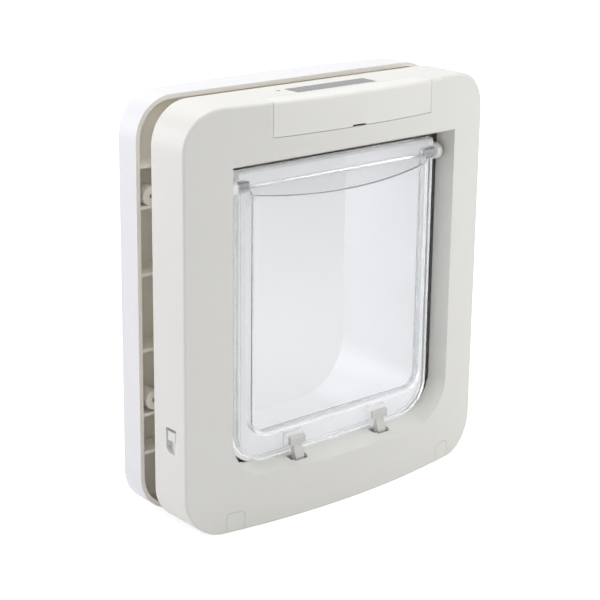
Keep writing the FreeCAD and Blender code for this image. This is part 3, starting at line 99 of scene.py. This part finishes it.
@dataclass(frozen=True)
class MouldedPlastic:
    """Injection moulded plastic, with the spark texture of its mould and faint flow mottling.

    The texture softens the highlights, and the mottling keeps a large face from looking flat. A second colour
    can cover the faces that look outwards, with a soft step over twice outward_step_mm. This split into two
    tones is painted light: the faces in the gap between the units and in the frame's tunnel get a lighter,
    warmer tone than the lamps alone give them.
    """

    name: str
    colour: str
    roughness: float = 0.42
    roughness_spread: float = 0.04
    # Spark pits are about 0.1 mm wide. They are drawn coarser, so that a close view shows them.
    texture_mm: float = 0.35
    texture_height_mm: float = 0.012
    texture_strength: float = 0.12
    mottle_mm: float = 38.0
    mottle: float = 0.02
    specular: float = 0.5
    ior: float = 1.54
    outward_painted_tone: str = ""
    outward_mm: float = 118.0
    outward_step_mm: float = 3.0
    outdoor_from: float = 0.3
    outdoor_to: float = 0.6

    def build(self) -> bpy.types.Material:
        """Make the material, with its patterns in the part's own millimetres.

        Returns:
            The material.
        """
        material, tree = new_material(self.name)
        place = add_node(tree, "ShaderNodeTexCoord").outputs["Object"]
        mottling = add_node(
            tree,
            "ShaderNodeTexNoise",
            {"Vector": place, "Scale": 1 / (self.mottle_mm * MM), "Detail": 3.0, "Roughness": 0.5},
        )
        shade = add_node(
            tree,
            "ShaderNodeMapRange",
            {"Value": mottling.outputs["Fac"], "To Min": 1 - self.mottle, "To Max": 1 + self.mottle / 2},
        )
        tint = add_node(
            tree,
            "ShaderNodeMix",
            {0: 1.0, 6: srgb(self.colour), 7: shade.outputs["Result"]},
            data_type="RGBA",
            blend_type="MULTIPLY",
        )
        # Painted light: the mask splits the plastic into two tones, so that the faces in the gap between the
        # units and in the frame's tunnel look lighter and warmer.
        if self.outward_painted_tone:
            base = add_node(
                tree,
                "ShaderNodeMix",
                {0: self.painted_tone_mask(tree, place), 6: srgb(self.colour), 7: srgb(self.outward_painted_tone)},
                data_type="RGBA",
            )
            tree.links.new(base.outputs[2], tint.inputs[6])
        texture = add_node(
            tree,
            "ShaderNodeTexNoise",
            {"Vector": place, "Scale": 1 / (self.texture_mm * MM), "Detail": 2.0, "Roughness": 0.6},
        )
        relief = add_node(
            tree,
            "ShaderNodeBump",
            {
                "Strength": self.texture_strength,
                "Distance": self.texture_height_mm * MM,
                "Height": texture.outputs["Fac"],
            },
        )
        gloss = add_node(
            tree,
            "ShaderNodeMapRange",
            {
                "Value": mottling.outputs["Fac"],
                "To Min": self.roughness - self.roughness_spread,
                "To Max": self.roughness + self.roughness_spread,
            },
        )
        shader = add_node(
            tree,
            "ShaderNodeBsdfPrincipled",
            {
                "Base Color": tint.outputs[2],
                "Roughness": gloss.outputs["Result"],
                "Specular IOR Level": self.specular,
                "IOR": self.ior,
                "Normal": relief.outputs["Normal"],
            },
        )
        finish_material(tree, shader.outputs["BSDF"])
        return material

    def painted_tone_mask(self, tree: bpy.types.NodeTree, place: bpy.types.NodeSocket) -> bpy.types.NodeSocket:
        """Tell the faces that look away from the passage, or outdoors, from the others, for the two tones of
        painted light.

        Args:
            tree: The material's node tree.
            place: The position on the piece, in metres.

        Returns:
            One on faces that look outdoors, or look away from the passage at outward_mm from its axis, and
            zero on the others.
        """
        normal = add_node(tree, "ShaderNodeNewGeometry").outputs["Normal"]
        spot = place
        for operation, operand in (("SUBTRACT", PASSAGE_AXIS), ("MULTIPLY", ACROSS)):
            step = add_node(tree, "ShaderNodeVectorMath", {0: spot, 1: operand}, operation=operation)
            spot = step.outputs["Vector"]
        facing = add_node(tree, "ShaderNodeVectorMath", {0: spot, 1: normal}, operation="DOT_PRODUCT")
        away = add_node(
            tree,
            "ShaderNodeMapRange",
            {
                "Value": facing.outputs["Value"],
                "From Min": (self.outward_mm - self.outward_step_mm) * MM,
                "From Max": (self.outward_mm + self.outward_step_mm) * MM,
            },
        )
        axes = add_node(tree, "ShaderNodeSeparateXYZ", {"Vector": normal})
        outdoors = add_node(
            tree,
            "ShaderNodeMapRange",
            {"Value": axes.outputs["Y"], "From Min": self.outdoor_from, "From Max": self.outdoor_to},
        )
        either = add_node(
            tree,
            "ShaderNodeMath",
            {0: away.outputs["Result"], 1: outdoors.outputs["Result"]},
            operation="MAXIMUM",
        )
        return either.outputs["Value"]


@dataclass(frozen=True)
class ClearPlastic:
    """Clear polycarbonate of the flap: a polished pane inside a satin flange.

    The mould is satin at the flange, which looks a little milky, with soft light along its edges. The pane
    and its slanted shoulder let the tunnel show through, slightly bent by a wide, shallow ripple. Faces that
    tilt up or down, the shoulder above all, also take a share of the milky shader: a painted highlight that
    stands in for the pale line of light along the shoulder.
    """

    name: str
    tint: str
    edge_tint: str = "#ECEDEE"
    milk: str = "#F0F1F2"
    milk_passing: float = 0.3
    # Polycarbonate has 1.58. The lower value matches the faint reflections of the real pane.
    ior: float = 1.49
    roughness: float = 0.015
    satin_roughness: float = 0.24
    flange_milk: float = 0.2
    # A milky share on tilted faces: a painted highlight along the pane's shoulder.
    shoulder_highlight_milk: float = 0.12
    shoulder_from: float = 0.04
    shoulder_to: float = 0.25
    pane_half_mm: float = 78.0
    pane_sill_mm: float = 58.8
    pane_head_mm: float = 229.0
    pane_corner_mm: float = 14.0
    pane_step_mm: float = 0.5
    ripple_mm: float = 60.0
    ripple_height_mm: float = 0.05
    ripple_strength: float = 0.03

    def build(self) -> bpy.types.Material:
        """Make the material, which shadow rays pass with the tint alone.

        Returns:
            The material.
        """
        material, tree = new_material(self.name)
        place = add_node(tree, "ShaderNodeTexCoord").outputs["Object"]
        flange = self.flange_mask(tree, place)
        glass = self.add_glass(tree, place, flange)
        milk = self.add_milk(tree)
        thick = add_node(tree, "ShaderNodeMath", {0: flange, 1: self.flange_milk}, operation="MULTIPLY")
        # Painted highlight: tilted faces, the shoulder above all, turn partly milky and read as a pale line
        # of light.
        slanted = add_node(
            tree, "ShaderNodeMath", {0: self.tilt_highlight_mask(tree), 1: self.shoulder_highlight_milk}, operation="MULTIPLY"
        )
        share = add_node(
            tree,
            "ShaderNodeMath",
            {0: thick.outputs["Value"], 1: slanted.outputs["Value"]},
            operation="MAXIMUM",
        )
        body = add_node(tree, "ShaderNodeMixShader", {0: share.outputs["Value"], 1: glass, 2: milk})
        through = add_node(tree, "ShaderNodeBsdfTransparent", {"Color": srgb(self.tint)})
        rays = add_node(tree, "ShaderNodeLightPath")
        mixed = add_node(
            tree,
            "ShaderNodeMixShader",
            {0: rays.outputs["Is Shadow Ray"], 1: body.outputs["Shader"], 2: through.outputs["BSDF"]},
        )
        finish_material(tree, mixed.outputs["Shader"])
        return material

    def add_glass(
        self, tree: bpy.types.NodeTree, place: bpy.types.NodeSocket, flange: bpy.types.NodeSocket
    ) -> bpy.types.NodeSocket:
        """Add the clear shader, polished in the pane and satin on the flange.

        Args:
            tree: The material's node tree.
            place: The position on the flap, in metres.
            flange: The factor that is one on the flange.

        Returns:
            The shader's output.
        """
        ripple = add_node(
            tree,
            "ShaderNodeTexNoise",
            {"Vector": place, "Scale": 1 / (self.ripple_mm * MM), "Detail": 1.0},
        )
        relief = add_node(
            tree,
            "ShaderNodeBump",
            {
                "Strength": self.ripple_strength,
                "Distance": self.ripple_height_mm * MM,
                "Height": ripple.outputs["Fac"],
            },
        )
        satin = add_node(
            tree,
            "ShaderNodeMapRange",
            {"Value": flange, "To Min": self.roughness, "To Max": self.satin_roughness},
        )
        clear = add_node(
            tree,
            "ShaderNodeMix",
            {0: flange, 6: srgb(self.tint), 7: srgb(self.edge_tint)},
            data_type="RGBA",
        )
        glass = add_node(
            tree,
            "ShaderNodeBsdfPrincipled",
            {
                "Base Color": clear.outputs[2],
                "Roughness": satin.outputs["Result"],
                "IOR": self.ior,
                "Transmission Weight": 1.0,
                "Normal": relief.outputs["Normal"],
            },
        )
        return glass.outputs["BSDF"]

    def add_milk(self, tree: bpy.types.NodeTree) -> bpy.types.NodeSocket:
        """Add the milky shader, which scatters light back and lets a share of it pass.

        Args:
            tree: The material's node tree.

        Returns:
            The shader's output.
        """
        front = add_node(tree, "ShaderNodeBsdfDiffuse", {"Color": srgb(self.milk)})
        back = add_node(tree, "ShaderNodeBsdfTranslucent", {"Color": srgb(self.milk)})
        milk = add_node(
            tree,
            "ShaderNodeMixShader",
            {0: self.milk_passing, 1: front.outputs["BSDF"], 2: back.outputs["BSDF"]},
        )
        return milk.outputs["Shader"]

    def tilt_highlight_mask(self, tree: bpy.types.NodeTree) -> bpy.types.NodeSocket:
        """Tell surfaces that tilt up or down, such as the pane's slanted shoulder, from the others.

        Their milk is a painted highlight along the shoulder.

        Args:
            tree: The material's node tree.

        Returns:
            One on the tilted surfaces and zero on the upright ones.
        """
        normal = add_node(tree, "ShaderNodeNewGeometry").outputs["Normal"]
        tilt = add_node(tree, "ShaderNodeSeparateXYZ", {"Vector": normal}).outputs["Z"]
        steep = add_node(tree, "ShaderNodeMath", {0: tilt}, operation="ABSOLUTE")
        step = add_node(
            tree,
            "ShaderNodeMapRange",
            {
                "Value": steep.outputs["Value"],
                "From Min": self.shoulder_from,
                "From Max": self.shoulder_to,
            },
        )
        return step.outputs["Result"]

    def flange_mask(self, tree: bpy.types.NodeTree, place: bpy.types.NodeSocket) -> bpy.types.NodeSocket:
        """Tell the flange from the pane inside its rounded outline.

        Args:
            tree: The material's node tree.
            place: The position on the flap, in metres.

        Returns:
            One on the flange and zero in the pane, with a soft step one millimetre wide.
        """
        middle = (0.0, 0.0, (self.pane_sill_mm + self.pane_head_mm) / 2 * MM)
        half_height_mm = (self.pane_head_mm - self.pane_sill_mm) / 2
        corner_centre = (
            (self.pane_half_mm - self.pane_corner_mm) * MM,
            0.0,
            (half_height_mm - self.pane_corner_mm) * MM,
        )
        spot = place
        for operation, operand in (
            ("SUBTRACT", middle),
            ("MULTIPLY", ACROSS),
            ("ABSOLUTE", ZERO),
            ("SUBTRACT", corner_centre),
            ("MAXIMUM", ZERO),
        ):
            step = add_node(tree, "ShaderNodeVectorMath", {0: spot, 1: operand}, operation=operation)
            spot = step.outputs["Vector"]
        distance = add_node(tree, "ShaderNodeVectorMath", {0: spot}, operation="LENGTH")
        edge = add_node(
            tree,
            "ShaderNodeMapRange",
            {
                "Value": distance.outputs["Value"],
                "From Min": (self.pane_corner_mm - self.pane_step_mm) * MM,
                "From Max": (self.pane_corner_mm + self.pane_step_mm) * MM,
            },
        )
        return edge.outputs["Result"]


@dataclass(frozen=True)
class GlossyPlastic:
    """Polished opaque surface, such as a smoked window, a display glass or a solder mask.

    It mirrors the studio softly, with a faint cloud in its gloss from handling.
    """

    name: str
    colour: str
    roughness: float = 0.12
    ior: float = 1.5
    cloud_mm: float = 14.0
    cloud_low: float = 0.7
    cloud_high: float = 1.4

    def build(self) -> bpy.types.Material:
        """Make the material.

        Returns:
            The material.
        """
        material, tree = new_material(self.name)
        place = add_node(tree, "ShaderNodeTexCoord").outputs["Object"]
        cloud = add_node(
            tree,
            "ShaderNodeTexNoise",
            {"Vector": place, "Scale": 1 / (self.cloud_mm * MM), "Detail": 4.0},
        )
        gloss = add_node(
            tree,
            "ShaderNodeMapRange",
            {
                "Value": cloud.outputs["Fac"],
                "To Min": self.roughness * self.cloud_low,
                "To Max": self.roughness * self.cloud_high,
            },
        )
        shader = add_node(
            tree,
            "ShaderNodeBsdfPrincipled",
            {"Base Color": srgb(self.colour), "Roughness": gloss.outputs["Result"], "IOR": self.ior},
        )
        finish_material(tree, shader.outputs["BSDF"])
        return material


@dataclass(frozen=True)
class PrintedCell:
    """Shrink sleeve of the round cells: dark, with a copper band at the raised end and bare steel ends.

    Two cells lie end to end along X in each row, so the print repeats once per cell. Each length is measured
    from the tip of the cell's raised end.
    """

    name: str
    sleeve: str
    band: str
    steel: str
    reach_mm: float
    pitch_mm: float
    nub_mm: float = 1.3
    band_mm: float = 14.0
    rear_mm: float = 49.8
    cloud_mm: float = 9.0
    least_roughness: float = 0.16
    most_roughness: float = 0.3

    def build(self) -> bpy.types.Material:
        """Make the material, with its bands laid along X.

        Returns:
            The material.
        """
        material, tree = new_material(self.name)
        place = add_node(tree, "ShaderNodeTexCoord").outputs["Object"]
        along = add_node(tree, "ShaderNodeSeparateXYZ", {"Vector": place}).outputs["X"]
        for operation, operand in (("ADD", self.reach_mm), ("MODULO", self.pitch_mm)):
            step = add_node(tree, "ShaderNodeMath", {0: along, 1: operand * MM}, operation=operation)
            along = step.outputs["Value"]
        before = [
            add_node(tree, "ShaderNodeMath", {0: along, 1: edge * MM}, operation="LESS_THAN").outputs["Value"]
            for edge in (self.nub_mm, self.band_mm, self.rear_mm)
        ]
        nub, banded, covered = before
        tail = add_node(tree, "ShaderNodeMath", {0: 1.0, 1: covered}, operation="SUBTRACT")
        bare = add_node(tree, "ShaderNodeMath", {0: nub, 1: tail.outputs["Value"]}, operation="MAXIMUM")
        metal = add_node(tree, "ShaderNodeMath", {0: bare.outputs["Value"], 1: banded}, operation="MAXIMUM")
        printed = add_node(
            tree,
            "ShaderNodeMix",
            {0: banded, 6: srgb(self.sleeve), 7: srgb(self.band)},
            data_type="RGBA",
        )
        colour = add_node(
            tree,
            "ShaderNodeMix",
            {0: bare.outputs["Value"], 6: printed.outputs[2], 7: srgb(self.steel)},
            data_type="RGBA",
        )
        cloud = add_node(
            tree,
            "ShaderNodeTexNoise",
            {"Vector": place, "Scale": 1 / (self.cloud_mm * MM), "Detail": 3.0},
        )
        gloss = add_node(
            tree,
            "ShaderNodeMapRange",
            {"Value": cloud.outputs["Fac"], "To Min": self.least_roughness, "To Max": self.most_roughness},
        )
        shader = add_node(
            tree,
            "ShaderNodeBsdfPrincipled",
            {
                "Base Color": colour.outputs[2],
                "Roughness": gloss.outputs["Result"],
                "Metallic": metal.outputs["Value"],
            },
        )
        finish_material(tree, shader.outputs["BSDF"])
        return material


@dataclass(frozen=True)
class DrawnMetal:
    """Zinc, nickel or copper surface, whose fine drawing lines along Y stretch its highlights."""

    name: str
    colour: str
    roughness: float = 0.3
    smoother: float = 0.08
    rougher: float = 0.1
    # Drawing lines are finer than this. They are drawn coarser, so that a close view shows them.
    line_mm: float = 0.2
    line_stretch: float = 20.0

    def build(self) -> bpy.types.Material:
        """Make the material, with its lines along Y.

        Returns:
            The material.
        """
        material, tree = new_material(self.name)
        place = add_node(tree, "ShaderNodeTexCoord").outputs["Object"]
        along = add_node(
            tree, "ShaderNodeMapping", {"Vector": place, "Scale": (1.0, 1 / self.line_stretch, 1.0)}
        )
        lines = add_node(
            tree,
            "ShaderNodeTexNoise",
            {"Vector": along.outputs["Vector"], "Scale": 1 / (self.line_mm * MM), "Detail": 2.0},
        )
        gloss = add_node(
            tree,
            "ShaderNodeMapRange",
            {
                "Value": lines.outputs["Fac"],
                "To Min": self.roughness - self.smoother,
                "To Max": self.roughness + self.rougher,
            },
        )
        shader = add_node(
            tree,
            "ShaderNodeBsdfPrincipled",
            {"Base Color": srgb(self.colour), "Roughness": gloss.outputs["Result"], "Metallic": 1.0},
        )
        finish_material(tree, shader.outputs["BSDF"])
        return material


class Finish(Enum):
    """The finishes that the cat flap's pieces share."""

    # White ABS, moulded with a spark texture: a soft and even sheen without sharp highlights.
    FASCIA = MouldedPlastic("white_abs_fascia", "#DDDCD7")
    LID = MouldedPlastic("white_abs_lid", "#E3E2DD")
    # White ABS from a smoother mould, so the passage is shinier than the ribs round it. The ribs and the
    # back, which face the gap between the units, get a warmer tone: painted light in that shaded gap.
    CHASSIS = MouldedPlastic(
        "white_abs_tunnel", "#EFEFF0", roughness=0.36, outward_painted_tone="#F1ECE3", outward_mm=45.0
    )
    # White ABS with a cooler outer skin. The faces inside the tunnel and towards the gap between the units
    # are
    # painted lighter and warmer: painted light that brightens that shaded tunnel and gap.
    FRAME = MouldedPlastic("white_abs_outdoor_frame", "#F6F2E9", outward_painted_tone="#E3E3E5")
    # Acetal, moulded: a waxy and even look, duller than the fascia where it rubs. The pins are coloured
    # nearly black so that the clear knuckle shows a dark hole: painted shade in the hinge's bore.
    CATCH = MouldedPlastic("grey_acetal_catch", "#CDCBC8", roughness=0.45)
    PIN = MouldedPlastic("hinge_pin_painted_shade", "#26272A", roughness=0.4)
    LATCH = MouldedPlastic("white_acetal_latch", "#D9D9D5", roughness=0.4)
    SLIDER = MouldedPlastic("natural_acetal_slider", "#C9C5B8", roughness=0.38)
    # Black ABS, moulded: dark, with a dull grey sheen.
    TRAY = MouldedPlastic("black_abs_tray", "#1E1F21", roughness=0.5)
    # Silicone rubber, moulded: matt, almost without highlights.
    BUTTON = MouldedPlastic("grey_rubber_button", "#5A5D61", roughness=0.6)
    # Polycarbonate, moulded clear: the tunnel shows through it, and its flange catches the light.
    CLEAR = ClearPlastic("clear_polycarbonate_flap", "#EDEEEF")
    # Smoked acrylic, polished: dark and smooth, and it hides what lies behind it.
    WINDOW = GlossyPlastic("smoked_acrylic_window", "#545655", roughness=0.18)
    LAMP = GlossyPlastic("smoked_acrylic_light", "#4A3B36", roughness=0.15)
    # Printed shrink film over steel cans: glossy, with a metallic band and bare ends.
    CELL = PrintedCell("printed_cell_sleeve", "#26282B", "#C77F4E", "#C9CACB", 51.0, 52.0)
    # Solder mask, a lacquer printed on the board: green and half glossy.
    BOARD = GlossyPlastic("green_solder_mask", "#1B5A34", roughness=0.3)
    # Float glass over the display: flat, with sharp reflections.
    DISPLAY = GlossyPlastic("grey_display_glass", "#5F635E", roughness=0.1)
    # Steel, drawn and zinc plated: pale grey with soft, stretched highlights.
    STEEL = DrawnMetal("zinc_plated_steel", "#C8C8C6")
    # Spring wire, nickel plated: warmer and brighter than the zinc.
    NICKEL = DrawnMetal("nickel_plated_spring", "#D6D3CC", roughness=0.22)
    # Copper wire under clear enamel: a shiny orange brown.
    COPPER = DrawnMetal("enamelled_copper_winding", "#C97B4A", roughness=0.28, line_mm=0.35)


class Wardrobe:
    """Makes each finish once and puts it on the CAD pieces."""

    def __init__(self) -> None:
        """Start with no finish made."""
        self.made: dict[Finish, bpy.types.Material] = {}

    def material(self, finish: Finish) -> bpy.types.Material:
        """Give the material of a finish, made on first use.

        Args:
            finish: The finish.

        Returns:
            Its material.
        """
        if finish not in self.made:
            self.made[finish] = finish.value.build()
        return self.made[finish]

    def dress(self, finish: Finish, *names: str) -> None:
        """Put a finish on CAD nodes.

        Args:
            finish: The finish.
            *names: The names of the CAD nodes.
        """
        for name in names:
            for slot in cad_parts[name].material_slots:
                slot.material = self.material(finish)
            log.info("%s in %s", name, finish.value.name)


@dataclass
class IndoorUnit:
    """The bowed fascia with its battery lid, window, light, latches and screw covers, on the rear chassis."""

    wardrobe: Wardrobe

    def build(self) -> None:
        """Dress the shell and its small pieces."""
        self.wardrobe.dress(Finish.FASCIA, "front_fascia", "screw_cover_left", "screw_cover_right")
        self.wardrobe.dress(Finish.LID, "battery_lid")
        self.wardrobe.dress(Finish.LATCH, "side_latch_left", "side_latch_right")
        self.wardrobe.dress(Finish.CHASSIS, "rear_chassis")
        self.wardrobe.dress(Finish.WINDOW, "display_window")
        self.wardrobe.dress(Finish.LAMP, "status_light")


@dataclass
class Flap:
    """The clear flap on its two pins, whose near-black colour is painted shade in the hinge's bore."""

    wardrobe: Wardrobe

    def build(self) -> None:
        """Dress the flap and its pins."""
        self.wardrobe.dress(Finish.CLEAR, "flap_panel")
        self.wardrobe.dress(Finish.PIN, "hinge_pin_left", "hinge_pin_right")


@dataclass
class Lock:
    """The sill catches and the mechanism that draws them down."""

    wardrobe: Wardrobe

    def build(self) -> None:
        """Dress the catches, slider, tray and solenoid."""
        self.wardrobe.dress(Finish.CATCH, "catch_left", "catch_right")
        self.wardrobe.dress(Finish.SLIDER, "lock_slider")
        self.wardrobe.dress(Finish.TRAY, "lock_tray")
        self.wardrobe.dress(Finish.STEEL, "lock_plunger", "lock_solenoid")


@dataclass
class Electronics:
    """The cells, contacts, board, display, keys and antenna."""

    wardrobe: Wardrobe

    def build(self) -> None:
        """Dress what lies behind the fascia."""
        self.wardrobe.dress(Finish.TRAY, "battery_tray")
        self.wardrobe.dress(Finish.CELL, "battery_cells")
        self.wardrobe.dress(Finish.NICKEL, "battery_contacts")
        self.wardrobe.dress(Finish.BOARD, "circuit_board")
        self.wardrobe.dress(Finish.DISPLAY, "display_module")
        self.wardrobe.dress(Finish.BUTTON, "learn_button", "lock_button")
        self.wardrobe.dress(Finish.COPPER, "antenna_coil")


@dataclass
class OutdoorFrame:
    """The outdoor frame, with the screws that draw it to the door and those of the case."""

    wardrobe: Wardrobe

    def build(self) -> None:
        """Dress the frame and the screws."""
        self.wardrobe.dress(Finish.FRAME, "rear_frame")
        self.wardrobe.dress(Finish.STEEL, "fixing_screws", "case_screws")


@dataclass(frozen=True)
class Softbox:
    """A square studio lamp that faces the middle of the object, in metres and watts."""

    place: tuple[float, float, float]
    side: float
    power: float
    colour: str = "#FFFFFF"


@dataclass
class Studio:
    """White floor and backdrop, soft lamps and the camera at the photograph's angle."""

    floor_size: float = 8.0
    floor_colour: str = "#EBEBEB"
    white: str = "#FFFFFF"
    # The floor's glow grows between two distances from the object, in metres.
    glow_from: float = 0.3
    glow_to: float = 1.6
    glow_near: float = 0.6
    glow_far: float = 1.0
    # So does the share of it that shows through the flap, from nothing.
    through_from: float = 1.2
    through_to: float = 2.0
    through_most: float = 0.8
    sky_colour: str = "#F7F9FF"
    sky_strength: float = 0.16
    aim: tuple[float, float, float] = (0.0, 0.0, 0.14)
    lens_mm: float = 97.29
    sensor_mm: float = 36.0
    eye: tuple[float, float, float] = (-0.70137, -0.81966, 0.47707)
    yaw_deg: float = 40.447
    pitch_deg: float = 15.705
    roll_deg: float = 0.703
    shift_y: float = -0.1
    lamps: dict[str, Softbox] = field(
        default_factory=lambda: {
            "top_softbox": Softbox((0.0, 0.6, 1.9), 1.6, 13.3),
            "overhead_softbox": Softbox((-0.1, -0.5, 1.9), 1.4, 14.8),
            "left_rear_softbox": Softbox((-1.9, 0.9, 0.8), 1.2, 10.8, "#F8F7FF"),
            "left_front_softbox": Softbox((-1.35, -1.45, 0.74), 0.9, 5.2, "#FFFEFC"),
            "front_right_softbox": Softbox((1.6, -1.4, 0.8), 1.2, 17.0, "#FFFFFD"),
            "right_softbox": Softbox((2.1, 0.0, 0.8), 1.2, 7.0),
            "outdoor_left_softbox": Softbox((-0.9, 1.6, 0.5), 1.0, 11.5, "#FDFDFF"),
            "outdoor_top_softbox": Softbox((0.1, 1.3, 1.4), 1.2, 2.8),
        }
    )

    def build(self) -> None:
        """Make the floor, the world, the lamps and the camera."""
        self.make_floor()
        self.make_world()
        for name, softbox in self.lamps.items():
            self.make_lamp(name, softbox)
        self.make_camera()
        bpy.context.scene.view_settings.view_transform = "Standard"

    def make_floor(self) -> None:
        """Make the floor, which stays white to the eye and keeps the object's shadow."""
        half = self.floor_size / 2
        mesh = bpy.data.meshes.new("studio_floor")
        outline = [(-half, -half, 0), (half, -half, 0), (half, half, 0), (-half, half, 0)]
        mesh.from_pydata(outline, [], [(0, 1, 2, 3)])
        floor = bpy.data.objects.new("studio_floor", mesh)
        bpy.context.scene.collection.objects.link(floor)
        mesh.materials.append(self.floor_material())

    def floor_material(self) -> bpy.types.Material:
        """Make the floor's paper, with a glow that grows outwards as the lamps' light falls off.

        Only the eye, a gloss and, from through_from metres on, the view through the flap see the glow, so it
        doesn't light the object.

        Returns:
            The material.
        """
        material, tree = new_material("white_paper_floor")
        paper = add_node(tree, "ShaderNodeBsdfDiffuse", {"Color": srgb(self.floor_colour)})
        place = add_node(tree, "ShaderNodeTexCoord").outputs["Object"]
        reach = add_node(tree, "ShaderNodeVectorMath", {0: place}, operation="LENGTH").outputs["Value"]
        strength = add_node(
            tree,
            "ShaderNodeMapRange",
            {
                "Value": reach,
                "From Min": self.glow_from,
                "From Max": self.glow_to,
                "To Min": self.glow_near,
                "To Max": self.glow_far,
            },
        )
        glow = add_node(
            tree,
            "ShaderNodeEmission",
            {"Color": srgb(self.white), "Strength": strength.outputs["Result"]},
        )
        both = add_node(tree, "ShaderNodeAddShader", {0: paper.outputs["BSDF"], 1: glow.outputs["Emission"]})
        rays = add_node(tree, "ShaderNodeLightPath")
        far = add_node(
            tree,
            "ShaderNodeMapRange",
            {
                "Value": reach,
                "From Min": self.through_from,
                "From Max": self.through_to,
                "To Max": self.through_most,
            },
        )
        through = add_node(
            tree,
            "ShaderNodeMath",
            {0: far.outputs["Result"], 1: rays.outputs["Is Transmission Ray"]},
            operation="MULTIPLY",
        )
        share = add_node(
            tree,
            "ShaderNodeMath",
            {0: self.seen_directly(tree, rays), 1: through.outputs["Value"]},
            operation="MAXIMUM",
        )
        mixed = add_node(
            tree,
            "ShaderNodeMixShader",
            {0: share.outputs["Value"], 1: paper.outputs["BSDF"], 2: both.outputs["Shader"]},
        )
        finish_material(tree, mixed.outputs["Shader"])
        return material

    def seen_directly(self, tree: bpy.types.NodeTree, rays: bpy.types.Node) -> bpy.types.NodeSocket:
        """Tell rays from the eye or off a gloss from rays through the flap and from scattered light.

        A ray through clear plastic counts as both glossy and transmitted, so the second is taken away.

        Args:
            tree: The node tree.
            rays: Its Light Path node.

        Returns:
            One for rays from the eye or off a gloss, and zero for the others.
        """
        mirrored = add_node(
            tree,
            "ShaderNodeMath",
            {0: rays.outputs["Is Glossy Ray"], 1: rays.outputs["Is Transmission Ray"]},
            operation="SUBTRACT",
        )
        either = add_node(
            tree,
            "ShaderNodeMath",
            {0: rays.outputs["Is Camera Ray"], 1: mirrored.outputs["Value"]},
            operation="MAXIMUM",
        )
        return either.outputs["Value"]

    def make_world(self) -> None:
        """Make a white background over an even, weaker sky light."""
        world = bpy.data.worlds.new("studio_world")
        bpy.context.scene.world = world
        world.use_nodes = True
        tree = world.node_tree
        tree.nodes.clear()
        sky = add_node(
            tree, "ShaderNodeBackground", {"Color": srgb(self.sky_colour), "Strength": self.sky_strength}
        )
        backdrop = add_node(tree, "ShaderNodeBackground", {"Color": srgb(self.white), "Strength": 1.0})
        rays = add_node(tree, "ShaderNodeLightPath")
        seen = add_node(
            tree,
            "ShaderNodeMath",
            {0: self.seen_directly(tree, rays), 1: rays.outputs["Is Transmission Ray"]},
            operation="MAXIMUM",
        )
        mixed = add_node(
            tree,
            "ShaderNodeMixShader",
            {0: seen.outputs["Value"], 1: sky.outputs["Background"], 2: backdrop.outputs["Background"]},
        )
        add_node(tree, "ShaderNodeOutputWorld", {"Surface": mixed.outputs["Shader"]})

    def make_lamp(self, name: str, softbox: Softbox) -> None:
        """Make a softbox.

        Args:
            name: The lamp's name.
            softbox: Its place, side, power and colour.
        """
        light = bpy.data.lights.new(name, "AREA")
        light.shape = "SQUARE"
        light.size = softbox.side
        light.energy = softbox.power
        light.color = srgb(softbox.colour)[:3]
        lamp = bpy.data.objects.new(name, light)
        lamp.location = softbox.place
        towards = Vector(self.aim) - Vector(softbox.place)
        lamp.rotation_euler = towards.to_track_quat("-Z", "Y").to_euler()
        bpy.context.scene.collection.objects.link(lamp)

    def make_camera(self) -> None:
        """Make the camera at the photograph's viewing angle."""
        yaw, pitch, roll = (math.radians(angle) for angle in (self.yaw_deg, self.pitch_deg, self.roll_deg))
        forward = Vector(
            (math.sin(yaw) * math.cos(pitch), math.cos(yaw) * math.cos(pitch), -math.sin(pitch))
        )
        level = Vector((math.cos(yaw), -math.sin(yaw), 0))
        upright = level.cross(forward)
        right = level * math.cos(roll) + upright * math.sin(roll)
        up = upright * math.cos(roll) - level * math.sin(roll)
        data = bpy.data.cameras.new("photo_camera")
        data.lens = self.lens_mm
        data.sensor_width = self.sensor_mm
        data.sensor_fit = "HORIZONTAL"
        data.shift_y = self.shift_y
        camera = bpy.data.objects.new("photo_camera", data)
        turn = Matrix((right, up, -forward)).transposed().to_4x4()
        camera.matrix_world = Matrix.Translation(self.eye) @ turn
        bpy.context.scene.collection.objects.link(camera)
        bpy.context.scene.camera = camera


def main() -> None:
    """Build the scene and log each assembly as it is built."""
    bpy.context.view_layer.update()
    wardrobe = Wardrobe()
    for assembly in (
        IndoorUnit(wardrobe),
        Flap(wardrobe),
        Lock(wardrobe),
        Electronics(wardrobe),
        OutdoorFrame(wardrobe),
        Studio(),
    ):
        assembly.build()
        log.info("%s built", type(assembly).__name__)


if __name__ == "__main__":
    main()
